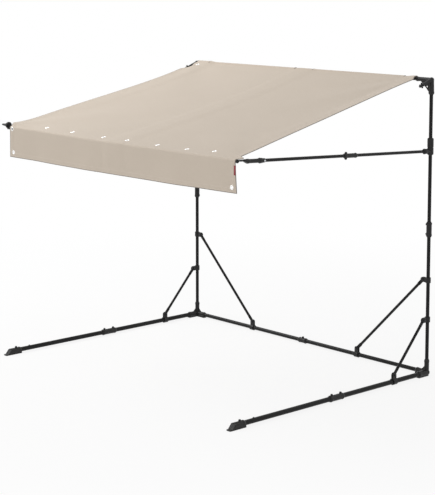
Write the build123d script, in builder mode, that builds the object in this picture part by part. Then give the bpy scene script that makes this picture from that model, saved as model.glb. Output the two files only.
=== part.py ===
from build123d import *
from math import asin, atan2, cos, degrees, radians, sin
import os

# A cantilevered canopy: two rear posts on floor rails carry forward arms, and a sloping cloth
# runs from a bar between the post tops down over a bar between the arm tips.
# The front is -Y, the right-hand side is +X and the ground is Z = 0.

# Overall frame, between tube axes
POST_SPACING = 1850.0
TOP_BAR_HEIGHT = 1580.0
ARM_DROP = 374.0
ARM_REACH = 1370.0
ARM_RISE_ANGLE = 2.7
FOOT_REACH = 1435.0

# Steel tubes
POST_DIAMETER = 19.0
RAIL_DIAMETER = 25.0
FLOOR_BAR_DIAMETER = 22.0
ARM_DIAMETER = 16.0
BAR_DIAMETER = 16.0
BRACE_DIAMETER = 15.0
TUBE_WALL = 1.2

# Fits between tubes and mouldings
FIT_GAP = 0.25
END_GAP = 0.5
OVERRUN = 5.0

# Moulded sockets
SOCKET_WALL = 3.0
SOCKET_DEPTH = 50.0
SOCKET_SEAT = 22.0
RIM_RUN = 12.0
RIM_RISE = 1.5
LIP_LENGTH = 9.0
LIP_WALL = 1.2
HUB_SWELL = 0.8
GUSSET_THICKNESS = 6.0
GUSSET_REACH = 60.0
GUSSET_HOLLOW = 14.0
SOLE_WIDTH = 22.0
SOLE_DROP = 1.0

# Splices
SPLICE_WEB = 3.0
POST_SPLICE_HEIGHT = 790.0
POST_SPLICE_LENGTH = 84.0
POST_SPLICE_SWELL = 1.6
RAIL_SPLICE_LENGTH = 102.0
RAIL_SPLICE_REACH = 700.0
FLOOR_SPLICE_LENGTH = 64.0
ARM_SPLICE_LENGTH = 95.0
BAR_SPLICE_LENGTH = 70.0
ARM_SPLICE_REACH = 616.0
BOSS_DIAMETER = 15.0
BOSS_RISE = 6.0
BOSS_TAPER = 8.0
BOSS_INSET = 16.0
RAIL_BOSS_SPREAD = 32.0

# Arm tee on the post
TEE_LOWER_LENGTH = 20.0
TEE_UPPER_LENGTH = 70.0
TEE_JOIN_RISE = 28.0
TEE_SWELL = 3.8
TEE_ARM_DEPTH = 42.0
TEE_ARM_SWELL = 2.2
TEE_CHAMFER = 4.5
TEE_GROOVE_RISE = 17.0
TEE_GROOVE_WIDTH = 4.0
TEE_GROOVE_DEPTH = 1.8

# Top corner
TOP_LEG_LENGTH = 78.0
TOP_LEG_SWELL = 1.5
TOP_BAR_LEG_LENGTH = 104.0
SPUR_LENGTH = 98.0
SPUR_ANGLE = 18.0
SPUR_TIP_DIAMETER = 13.0
SPUR_CROSS_LENGTH = 29.0
SPUR_CROSS_DIAMETER = 9.0
SPUR_CROSS_INSET = 17.0
TOP_WEB_REACH = 84.0
TOP_WEB_HOLLOW = 6.0
WEB_HOLE_DIAMETER = 11.0
WEB_HOLE_INSET = 29.0
WEB_HOLE_DROP = 37.0

# Front corner
FRONT_SPIGOT_LENGTH = 42.0
FRONT_CAP_INSET = 16.0
FRONT_CAP_LENGTH = 10.0
FRONT_CAP_RISE = 0.6
FRONT_CAP_ROUNDING = 3.5
FRONT_NECK_REACH = 7.5
FRONT_NECK_HEIGHT = 6.5
FRONT_NECK_RISE = 4.0
FRONT_SLEEVE_START = 32.0
FRONT_SLEEVE_STOP = 16.0
FRONT_SLEEVE_BEVEL = 20.0
FRONT_FLARE_PLACE = 56.0
FRONT_FLARE_RISE = 1.8
FRONT_BELL_PLACE = 132.0
FRONT_BELL_RISE = 3.6
FRONT_FLARE_RUN = 11.0
FRONT_SLEEVE_END = 164.0
FRONT_SLEEVE_WALL = 1.8
NOSE_RISE = 22.0
NOSE_BRACKET_WIDTH = 14.0
NOSE_PLACE = 20.0
NOSE_COLLAR_WIDTH = 9.0
NOSE_COLLAR_DIAMETER = 36.0
NOSE_BASE_DIAMETER = 22.0
NOSE_LENGTH = 56.0
NOSE_TIP_DIAMETER = 9.0

# Foot
TOE_LENGTH = 34.0
TOE_LIP = 5.0
TOE_LIP_LENGTH = 13.0
TOE_SHOULDER_RISE = 11.0
FOOT_NUB_PLACE = 74.0
FOOT_STOP = 5.0
FOOT_LENGTH = 104.0
FOOT_WIDTH = 30.0
FOOT_CORNER_RADIUS = 6.0

# Braces and their eared clamps
REAR_BRACE_HEIGHT = 518.0
REAR_BRACE_RUN = 502.0
SIDE_BRACE_HEIGHT = 306.0
SIDE_BRACE_RUN = 263.0
CLAMP_WALL = 4.5
CLAMP_WIDTH = 28.0
EAR_REACH = 34.0
EAR_RADIUS = 13.0
EAR_THICKNESS = 4.0
TONGUE_THICKNESS = 5.0
TONGUE_LENGTH = 34.0
TONGUE_RADIUS = 9.0
TONGUE_GAP = 0.3
PIVOT_HOLE_DIAMETER = 6.4

# Cloth
CLOTH_THICKNESS = 2.0
CLOTH_GAP = 0.3
CLOTH_SAG = 12.0
CLOTH_EDGE_HOLLOW = 16.0
CLOTH_REAR_OVERHANG = 7.0
CLOTH_REAR_CLEARANCE = 7.0
CLOTH_FRONT_LEFT_INSET = 3.0
CLOTH_FRONT_RIGHT_INSET = 11.0
VALANCE_DROP = 150.0

SIDES = {"left": -1, "right": 1}
ON_PLANE = (Align.CENTER, Align.CENTER, Align.MIN)


def socket_radius(tube_diameter):
    """Outer radius of the moulded wall round a tube."""
    return tube_diameter / 2 + FIT_GAP + SOCKET_WALL


# Places that follow from the sizes above
RAIL_CREST = socket_radius(RAIL_DIAMETER) + RIM_RISE
RAIL_HEIGHT = RAIL_CREST + SOLE_DROP
BACK_REACH = socket_radius(RAIL_DIAMETER) + HUB_SWELL
POST_Y = (FOOT_REACH - BACK_REACH) / 2
POST_X = POST_SPACING / 2
ARM_HEIGHT = TOP_BAR_HEIGHT - ARM_DROP
ARM_COS = cos(radians(ARM_RISE_ANGLE))
ARM_SIN = sin(radians(ARM_RISE_ANGLE))
FRONT_Y = POST_Y - ARM_REACH * ARM_COS
FRONT_Z = ARM_HEIGHT + ARM_REACH * ARM_SIN
TEE_JOIN_HEIGHT = ARM_HEIGHT + TEE_JOIN_RISE
TEE_RADIUS = socket_radius(POST_DIAMETER) + TEE_SWELL
FRONT_TURN_RADIUS = socket_radius(BAR_DIAMETER) + HUB_SWELL
FRONT_CAP_RADIUS = BAR_DIAMETER / 2 + FRONT_CAP_RISE
TOP_HUB_RADIUS = socket_radius(POST_DIAMETER) + HUB_SWELL
FRONT_SLEEVE_RADIUS = ARM_DIAMETER / 2 + FIT_GAP + FRONT_SLEEVE_WALL
FRONT_SLEEVE_SEAT = FRONT_SLEEVE_START + FRONT_SLEEVE_STOP
NOSE_START = NOSE_PLACE + NOSE_COLLAR_WIDTH
NOSE_END = NOSE_START + NOSE_LENGTH
MIDDLE_X = (NOSE_END - RAIL_CREST) / 2
CLOTH_REAR_LEFT = POST_X + CLOTH_REAR_OVERHANG
CLOTH_REAR_RIGHT = POST_X - TOP_BAR_LEG_LENGTH - CLOTH_REAR_CLEARANCE
CLOTH_FRONT_LEFT = POST_X - CLOTH_FRONT_LEFT_INSET
CLOTH_FRONT_RIGHT = POST_X - CLOTH_FRONT_RIGHT_INSET
HALF_WEB = SPLICE_WEB / 2 + END_GAP


def side_point(side, y, z):
    """A point in the left or right post's plane."""
    return Vector(MIDDLE_X + side * POST_X, y, z)


def leg_plane(origin, direction):
    """A plane at a tube's start whose normal runs along the tube."""
    across = (0, 1, 0) if direction[0] else (1, 0, 0)
    return Plane(origin=origin, x_dir=across, z_dir=direction)


def arm_plane(side, distance):
    """A plane across the arm, at a distance from the post axis, facing the arm's tip."""
    root = side_point(side, POST_Y, ARM_HEIGHT)
    return Plane(origin=root, x_dir=(1, 0, 0), z_dir=(0, -ARM_COS, ARM_SIN)).offset(distance)


def tube(plane, diameter, length):
    """A straight round tube from the plane along its normal."""
    with BuildPart() as piece:
        with BuildSketch(plane):
            Circle(diameter / 2)
            Circle(diameter / 2 - TUBE_WALL, mode=Mode.SUBTRACT)
        extrude(amount=length)
    return piece


def turned(plane, outline):
    """A solid turned round the plane's normal from a half outline of (radius, distance) points."""
    side_plane = Plane(origin=plane.origin, x_dir=plane.x_dir, z_dir=-plane.y_dir)
    with BuildPart() as piece:
        with BuildSketch(side_plane):
            with BuildLine():
                Polyline(*outline, close=True)
            make_face()
        revolve(axis=Axis(plane.origin, plane.z_dir))
    return piece.part


def turned_round(plane, outline):
    """A turned solid whose far end is rounded off."""
    solid = turned(plane, outline)
    with BuildPart() as piece:
        add(solid)
        fillet(piece.edges().group_by(Axis(plane.origin, plane.z_dir))[-1], FRONT_CAP_ROUNDING)
    return piece.part


def rim(tube_diameter, mouth, swell):
    """Half outline of a moulded wall that swells to a rim, thins to its mouth and turns in to the axis."""
    radius = socket_radius(tube_diameter) + swell
    lip = tube_diameter / 2 + FIT_GAP + LIP_WALL
    crest_place = mouth - LIP_LENGTH
    return [(radius, crest_place - RIM_RUN), (radius + RIM_RISE, crest_place), (lip, mouth), (0, mouth)]


def leg(plane, tube_diameter, length, swell=0):
    """A solid moulded leg from the plane along a tube's axis, which swells towards the rim at its mouth."""
    root = [(0, 0), (socket_radius(tube_diameter), 0)]
    return turned(plane, root + rim(tube_diameter, length, swell))


def sleeve(plane, tube_diameter, length, swell):
    """A solid moulded sleeve round a tube's axis, centred on the plane, with a rim at each mouth."""
    upper = rim(tube_diameter, length / 2, swell)
    lower = [(across, -along) for across, along in reversed(upper)]
    return turned(plane, upper + lower)


def plain_sleeve(plane, tube_diameter, length, swell):
    """A solid moulded sleeve round a tube's axis, centred on the plane and straight to its mouths."""
    with BuildPart() as piece:
        with BuildSketch(plane):
            Circle(socket_radius(tube_diameter) + swell)
        extrude(amount=length / 2, both=True)
    return piece.part


def bore(plane, tube_diameter, depth):
    """The round space a tube slides into, from the plane along its normal."""
    with BuildPart() as piece:
        with BuildSketch(plane):
            Circle(tube_diameter / 2 + FIT_GAP)
        extrude(amount=depth)
    return piece.part


def gusset(plane, reach, hollow):
    """A thin web between two legs that run along the plane's x and y, with a hollow free edge."""
    middle = reach / 2 - hollow / 2
    with BuildPart() as piece:
        with BuildSketch(plane):
            with BuildLine():
                Line((0, 0), (reach, 0))
                ThreePointArc((reach, 0), (middle, middle), (0, reach))
                Line((0, reach), (0, 0))
            make_face()
        extrude(amount=GUSSET_THICKNESS / 2, both=True)
    return piece.part


def boss(plane, tube_diameter):
    """A round screw boss on a moulded wall, along the plane's normal from the tube's axis outwards."""
    with BuildPart() as piece:
        with BuildSketch(plane.offset(tube_diameter / 2)):
            Circle(BOSS_DIAMETER / 2)
        extrude(amount=FIT_GAP + SOCKET_WALL + BOSS_RISE, taper=BOSS_TAPER)
    return piece.part


def splice(centre, axis, tube_diameter, length, bosses, body=sleeve, swell=0):
    """A sleeve that joins two tubes end to end, with a web between them and screw bosses."""
    ends = [leg_plane(centre, axis), leg_plane(centre, [-value for value in axis])]
    places = [(Vector(*centre) + Vector(*axis) * inset, direction) for inset, direction in bosses]
    nubs = [boss(leg_plane(place, direction), tube_diameter) for place, direction in places]
    with BuildPart() as piece:
        add(body(ends[0], tube_diameter, length, swell))
        for nub in nubs:
            add(nub)
        for plane in ends:
            add(bore(plane.offset(SPLICE_WEB / 2), tube_diameter, length), mode=Mode.SUBTRACT)
    return piece


def eared_clamp(plane, tube_diameter):
    """A collar on a tube that runs along the plane's normal, with two ears along the plane's x."""
    radius = tube_diameter / 2 + FIT_GAP + CLAMP_WALL
    ear_centre = TONGUE_THICKNESS / 2 + TONGUE_GAP + EAR_THICKNESS / 2
    ear_plane = Plane(origin=plane.origin, x_dir=plane.x_dir, z_dir=-plane.y_dir)
    with BuildPart() as piece:
        with BuildSketch(plane):
            Circle(radius)
        extrude(amount=CLAMP_WIDTH / 2, both=True)
        for offset_sign in (-1, 1):
            with BuildSketch(ear_plane.offset(offset_sign * ear_centre)):
                with Locations((EAR_REACH / 2, 0)):
                    Rectangle(EAR_REACH, 2 * EAR_RADIUS)
                with Locations((EAR_REACH, 0)):
                    Circle(EAR_RADIUS)
                    Circle(PIVOT_HOLE_DIAMETER / 2, mode=Mode.SUBTRACT)
            extrude(amount=EAR_THICKNESS / 2, both=True)
        with BuildSketch(plane):
            Circle(tube_diameter / 2 + FIT_GAP)
        extrude(amount=CLAMP_WIDTH, both=True, mode=Mode.SUBTRACT)
    return piece.part


def brace(start, end, across):
    """A round strut between two pivots, pressed flat at both ends to fit between clamp ears."""
    length = (end - start).length
    shank = length - 2 * TONGUE_LENGTH
    along = Plane(origin=start, x_dir=across, z_dir=end - start)
    flat = Plane(origin=start, x_dir=end - start, z_dir=across)
    with BuildPart() as piece:
        with BuildSketch(along.offset(TONGUE_LENGTH)):
            Circle(BRACE_DIAMETER / 2)
        extrude(amount=shank)
        with BuildSketch(flat):
            for place in (0, length):
                with Locations((place, 0)):
                    Circle(TONGUE_RADIUS)
            with Locations((length / 2, 0)):
                Rectangle(length, 2 * TONGUE_RADIUS)
            with Locations((length / 2, 0)):
                Rectangle(shank - 2 * TONGUE_RADIUS, 2 * TONGUE_RADIUS, mode=Mode.SUBTRACT)
            for place in (0, length):
                with Locations((place, 0)):
                    Circle(PIVOT_HOLE_DIAMETER / 2, mode=Mode.SUBTRACT)
        extrude(amount=TONGUE_THICKNESS / 2, both=True)
    return piece


def hand_over(piece, name):
    """Labels a finished piece and writes it under its own name."""
    piece.part.label = name
    export_step(piece.part, f"parts/{name}.step")


def base_corner(side):
    """Three-way moulding on the ground: post up, floor rail forward, rear floor bar inward."""
    crossing = side_point(side, POST_Y, RAIL_HEIGHT)
    reach = SOCKET_SEAT + SOCKET_DEPTH
    legs = [
        (leg_plane(crossing, (0, 0, 1)), POST_DIAMETER),
        (leg_plane(crossing, (0, -1, 0)), RAIL_DIAMETER),
        (leg_plane(crossing, (-side, 0, 0)), FLOOR_BAR_DIAMETER),
    ]
    web_planes = [
        Plane(origin=crossing, x_dir=(-side, 0, 0), z_dir=(0, side, 0)),
        Plane(origin=crossing, x_dir=(0, -1, 0), z_dir=(-1, 0, 0)),
    ]
    with BuildPart() as piece:
        with Locations(crossing):
            Sphere(BACK_REACH)
        for plane, diameter in legs:
            add(leg(plane, diameter, reach))
        for plane in web_planes:
            add(gusset(plane, GUSSET_REACH, GUSSET_HOLLOW))
        with BuildSketch(Plane.XY):
            with Locations((crossing.X, crossing.Y)):
                Circle(SOLE_WIDTH / 2)
            with Locations((crossing.X - side * reach / 2, crossing.Y)):
                Rectangle(reach, SOLE_WIDTH)
            with Locations((crossing.X, crossing.Y - reach / 2)):
                Rectangle(SOLE_WIDTH, reach)
        extrude(amount=RAIL_HEIGHT)
        for plane, diameter in legs:
            add(bore(plane.offset(SOCKET_SEAT), diameter, reach), mode=Mode.SUBTRACT)
    return piece


def arm_tee(side):
    """Tall sleeve that joins the middle and upper post tubes and carries the arm's socket."""
    foot_plane = Plane.XY.offset(ARM_HEIGHT - TEE_LOWER_LENGTH)
    groove_plane = Plane.XY.offset(ARM_HEIGHT + TEE_GROOVE_RISE)
    join = side_point(side, POST_Y, TEE_JOIN_HEIGHT)
    with BuildPart() as piece:
        with BuildSketch(foot_plane):
            with Locations((join.X, join.Y)):
                Circle(TEE_RADIUS)
        extrude(amount=TEE_LOWER_LENGTH + TEE_UPPER_LENGTH)
        chamfer(piece.edges().filter_by(GeomType.CIRCLE), TEE_CHAMFER)
        with BuildSketch(groove_plane):
            with Locations((join.X, join.Y)):
                Circle(TEE_RADIUS + OVERRUN)
                Circle(TEE_RADIUS - TEE_GROOVE_DEPTH, mode=Mode.SUBTRACT)
        extrude(amount=TEE_GROOVE_WIDTH, mode=Mode.SUBTRACT)
        add(leg(arm_plane(side, 0), ARM_DIAMETER, TEE_RADIUS + TEE_ARM_DEPTH, TEE_ARM_SWELL))
        add(bore(arm_plane(side, TEE_RADIUS), ARM_DIAMETER, TEE_ARM_DEPTH + OVERRUN), mode=Mode.SUBTRACT)
        for direction in (-1, 1):
            start = join + Vector(0, 0, direction * SPLICE_WEB / 2)
            post_bore = bore(leg_plane(start, (0, 0, direction)), POST_DIAMETER, TEE_UPPER_LENGTH)
            add(post_bore, mode=Mode.SUBTRACT)
    return piece


def top_corner(side):
    """Three-way moulding on the post top: post below, top bar inward and a cleat spur forward."""
    crossing = side_point(side, POST_Y, TOP_BAR_HEIGHT)
    post_leg = Plane(origin=crossing, x_dir=(side, 0, 0), z_dir=(0, 0, -1))
    bar_leg = leg_plane(crossing, (-side, 0, 0))
    spur_drop = radians(SPUR_ANGLE)
    spur = leg_plane(crossing, (0, -cos(spur_drop), -sin(spur_drop)))
    web_plane = Plane(origin=crossing, x_dir=(-side, 0, 0), z_dir=(0, -side, 0))
    cross_centre = spur.offset(SPUR_LENGTH - SPUR_CROSS_INSET)
    with BuildPart() as piece:
        with Locations(crossing):
            Sphere(TOP_HUB_RADIUS)
        add(leg(post_leg, POST_DIAMETER, TOP_LEG_LENGTH, TOP_LEG_SWELL))
        add(leg(bar_leg, BAR_DIAMETER, TOP_BAR_LEG_LENGTH))
        add(gusset(web_plane, TOP_WEB_REACH, TOP_WEB_HOLLOW))
        with BuildSketch(web_plane):
            with Locations((WEB_HOLE_INSET, WEB_HOLE_DROP)):
                Circle(WEB_HOLE_DIAMETER / 2)
        extrude(amount=GUSSET_THICKNESS, both=True, mode=Mode.SUBTRACT)
        with Locations(spur):
            Cone(socket_radius(BAR_DIAMETER), SPUR_TIP_DIAMETER / 2, SPUR_LENGTH, align=ON_PLANE)
        for cross_direction in (cross_centre.x_dir, cross_centre.y_dir):
            with BuildSketch(Plane(origin=cross_centre.origin, z_dir=cross_direction)):
                Circle(SPUR_CROSS_DIAMETER / 2)
            extrude(amount=SPUR_CROSS_LENGTH / 2, both=True)
        add(bore(post_leg.offset(SOCKET_SEAT), POST_DIAMETER, TOP_LEG_LENGTH), mode=Mode.SUBTRACT)
        add(bore(bar_leg.offset(SOCKET_SEAT), BAR_DIAMETER, TOP_BAR_LEG_LENGTH), mode=Mode.SUBTRACT)
    return piece


def front_nose(side):
    """The left front corner's bracket, which carries a collar and a tapered nose above the bar."""
    crossing = side_point(side, FRONT_Y, FRONT_Z)
    axis = leg_plane(crossing + Vector(0, 0, NOSE_RISE), (side, 0, 0))
    outline = [
        (0, NOSE_PLACE),
        (NOSE_COLLAR_DIAMETER / 2, NOSE_PLACE),
        (NOSE_COLLAR_DIAMETER / 2, NOSE_START),
        (NOSE_BASE_DIAMETER / 2, NOSE_START),
        (NOSE_TIP_DIAMETER / 2, NOSE_END),
        (0, NOSE_END),
    ]
    nose = turned_round(axis, outline)
    with BuildPart() as piece:
        add(nose)
        with BuildSketch(Plane(origin=crossing, x_dir=(0, 1, 0), z_dir=(1, 0, 0))):
            with Locations((0, NOSE_RISE / 2)):
                Rectangle(NOSE_BRACKET_WIDTH, NOSE_RISE)
        extrude(amount=side * (NOSE_PLACE + NOSE_COLLAR_WIDTH))
    return piece.part


def front_corner(side):
    """Corner on the arm's tip: a plug in the front bar's end, a slim neck and a flared sleeve for the arm."""
    crossing = side_point(side, FRONT_Y, FRONT_Z)
    outward = leg_plane(crossing, (side, 0, 0))
    backward = Plane(origin=crossing, x_dir=(1, 0, 0), z_dir=(0, ARM_COS, -ARM_SIN))
    profile = Plane(origin=crossing, x_dir=backward.z_dir, z_dir=(1, 0, 0))
    spigot_radius = BAR_DIAMETER / 2 - TUBE_WALL - FIT_GAP
    spigot_start = -FRONT_CAP_INSET - FRONT_SPIGOT_LENGTH
    cap_end = FRONT_CAP_LENGTH - FRONT_CAP_INSET
    plug_outline = [
        (0, spigot_start),
        (spigot_radius, spigot_start),
        (spigot_radius, -FRONT_CAP_INSET),
        (FRONT_CAP_RADIUS, -FRONT_CAP_INSET),
        (FRONT_CAP_RADIUS, cap_end),
        (0, cap_end),
    ]
    flare_radius = FRONT_SLEEVE_RADIUS + FRONT_FLARE_RISE
    sleeve_outline = [
        (0, FRONT_SLEEVE_START),
        (FRONT_SLEEVE_RADIUS, FRONT_SLEEVE_START),
        (flare_radius, FRONT_FLARE_PLACE),
        (FRONT_SLEEVE_RADIUS, FRONT_FLARE_PLACE + FRONT_FLARE_RUN),
        (FRONT_SLEEVE_RADIUS, FRONT_BELL_PLACE - FRONT_FLARE_RUN),
        (FRONT_SLEEVE_RADIUS + FRONT_BELL_RISE, FRONT_BELL_PLACE),
        (FRONT_SLEEVE_RADIUS, FRONT_SLEEVE_END),
        (0, FRONT_SLEEVE_END),
    ]
    plug = turned_round(outward, plug_outline)
    arm_sleeve = turned(backward, sleeve_outline)
    nose = front_nose(side) if side < 0 else None
    with BuildPart() as piece:
        add(arm_sleeve)
        with BuildSketch(profile):
            with BuildLine():
                Polyline(
                    (FRONT_SLEEVE_START - OVERRUN, 0),
                    (FRONT_SLEEVE_START, 0),
                    (FRONT_SLEEVE_START + FRONT_SLEEVE_BEVEL, -flare_radius),
                    (FRONT_SLEEVE_START - OVERRUN, -flare_radius),
                    close=True,
                )
            make_face()
        extrude(amount=flare_radius, both=True, mode=Mode.SUBTRACT)
        add(bore(backward.offset(FRONT_SLEEVE_SEAT), ARM_DIAMETER, FRONT_SLEEVE_END), mode=Mode.SUBTRACT)
        add(plug)
        with BuildSketch(backward):
            with Locations((side * (FRONT_NECK_REACH - FRONT_CAP_INSET) / 2, -FRONT_NECK_RISE)):
                Rectangle(FRONT_NECK_REACH + FRONT_CAP_INSET, FRONT_NECK_HEIGHT)
        extrude(amount=FRONT_SLEEVE_SEAT)
        if nose:
            add(nose)
    return piece


def foot(side):
    """Wedge-toed end of a floor rail, flat underneath, with the rail's socket behind the toe."""
    toe = side_point(side, POST_Y - FOOT_REACH, 0)
    profile = Plane(origin=toe, x_dir=(0, 1, 0), z_dir=(1, 0, 0))
    socket = leg_plane(toe + Vector(0, TOE_LENGTH, RAIL_HEIGHT), (0, 1, 0))
    nub_plane = leg_plane(toe + Vector(0, FOOT_NUB_PLACE, RAIL_HEIGHT), (0, 0, 1))
    nub = boss(nub_plane, RAIL_DIAMETER)
    with BuildPart() as piece:
        with BuildSketch(profile):
            with BuildLine():
                Polyline(
                    (0, 0),
                    (0, TOE_LIP),
                    (TOE_LIP_LENGTH, TOE_LIP),
                    (TOE_LENGTH, RAIL_HEIGHT + TOE_SHOULDER_RISE),
                    (FOOT_NUB_PLACE, RAIL_HEIGHT + TOE_SHOULDER_RISE),
                    (FOOT_LENGTH, RAIL_HEIGHT),
                    (FOOT_LENGTH, 0),
                    close=True,
                )
            make_face()
        extrude(amount=FOOT_WIDTH / 2, both=True)
        fillet(piece.edges().filter_by(Axis.Z).group_by(Axis.Y)[0], FOOT_CORNER_RADIUS)
        add(leg(socket, RAIL_DIAMETER, FOOT_LENGTH - TOE_LENGTH))
        add(nub)
        add(bore(socket.offset(FOOT_STOP), RAIL_DIAMETER, FOOT_LENGTH), mode=Mode.SUBTRACT)
    return piece


def clamp_pair(upper_plane, upper_diameter, lower_plane, lower_diameter):
    """The two eared clamps that hold one brace."""
    clamps = [eared_clamp(upper_plane, upper_diameter), eared_clamp(lower_plane, lower_diameter)]
    with BuildPart() as piece:
        for part in clamps:
            add(part)
    return piece


def cloth_face(extra):
    """Draws one face of the cloth, a distance out from where it rests, and returns its two ends."""
    rear_radius = TOP_HUB_RADIUS + CLOTH_GAP + extra
    front_radius = FRONT_TURN_RADIUS + CLOTH_GAP + extra
    rear_centre = Vector(POST_Y, TOP_BAR_HEIGHT)
    front_centre = Vector(FRONT_Y, FRONT_Z)
    run = front_centre - rear_centre
    lean = degrees(asin((rear_radius - front_radius) / run.length))
    slope_angle = degrees(atan2(-run.Y, -run.X)) + 90 + lean
    normal = Vector(cos(radians(slope_angle)), sin(radians(slope_angle)))
    rear_turn = CenterArc(rear_centre, rear_radius, 0, slope_angle)
    slope_start = rear_turn @ 1
    slope_end = front_centre + normal * front_radius
    ThreePointArc(slope_start, (slope_start + slope_end) / 2 - normal * CLOTH_SAG, slope_end)
    front_turn = CenterArc(front_centre, front_radius, slope_angle, 180 - slope_angle)
    hem = front_turn @ 1 - Vector(0, VALANCE_DROP)
    Line(front_turn @ 1, hem)
    return rear_turn @ 0, hem


def canopy_cloth():
    """One sheet: up over the top bar, down the slope, over the front bar and hanging in a valance."""
    reach = TOP_HUB_RADIUS + CLOTH_GAP + CLOTH_THICKNESS + OVERRUN
    rear_y = POST_Y + reach
    front_y = FRONT_Y - reach
    middle_y = (rear_y + front_y) / 2
    left_middle = (CLOTH_REAR_LEFT + CLOTH_FRONT_LEFT) / 2 - CLOTH_EDGE_HOLLOW
    right_middle = (CLOTH_REAR_RIGHT + CLOTH_FRONT_RIGHT) / 2 - CLOTH_EDGE_HOLLOW
    with BuildPart() as piece:
        with BuildSketch(Plane.YZ.offset(MIDDLE_X)):
            with BuildLine():
                inner_ends = cloth_face(0)
                outer_ends = cloth_face(CLOTH_THICKNESS)
                for inner, outer in zip(inner_ends, outer_ends):
                    Line(inner, outer)
            make_face()
        extrude(amount=CLOTH_REAR_LEFT + OVERRUN, both=True)
        with BuildSketch(Plane(origin=(MIDDLE_X, 0, 0))):
            with BuildLine():
                rear = Line((-CLOTH_REAR_LEFT, rear_y), (CLOTH_REAR_RIGHT, rear_y))
                front = Line((-CLOTH_FRONT_LEFT, front_y), (CLOTH_FRONT_RIGHT, front_y))
                ThreePointArc(rear @ 0, (-left_middle, middle_y), front @ 0)
                ThreePointArc(rear @ 1, (right_middle, middle_y), front @ 1)
            make_face()
        extrude(amount=TOP_BAR_HEIGHT + reach, mode=Mode.INTERSECT)
    return piece


os.makedirs("parts", exist_ok=True)

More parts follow.
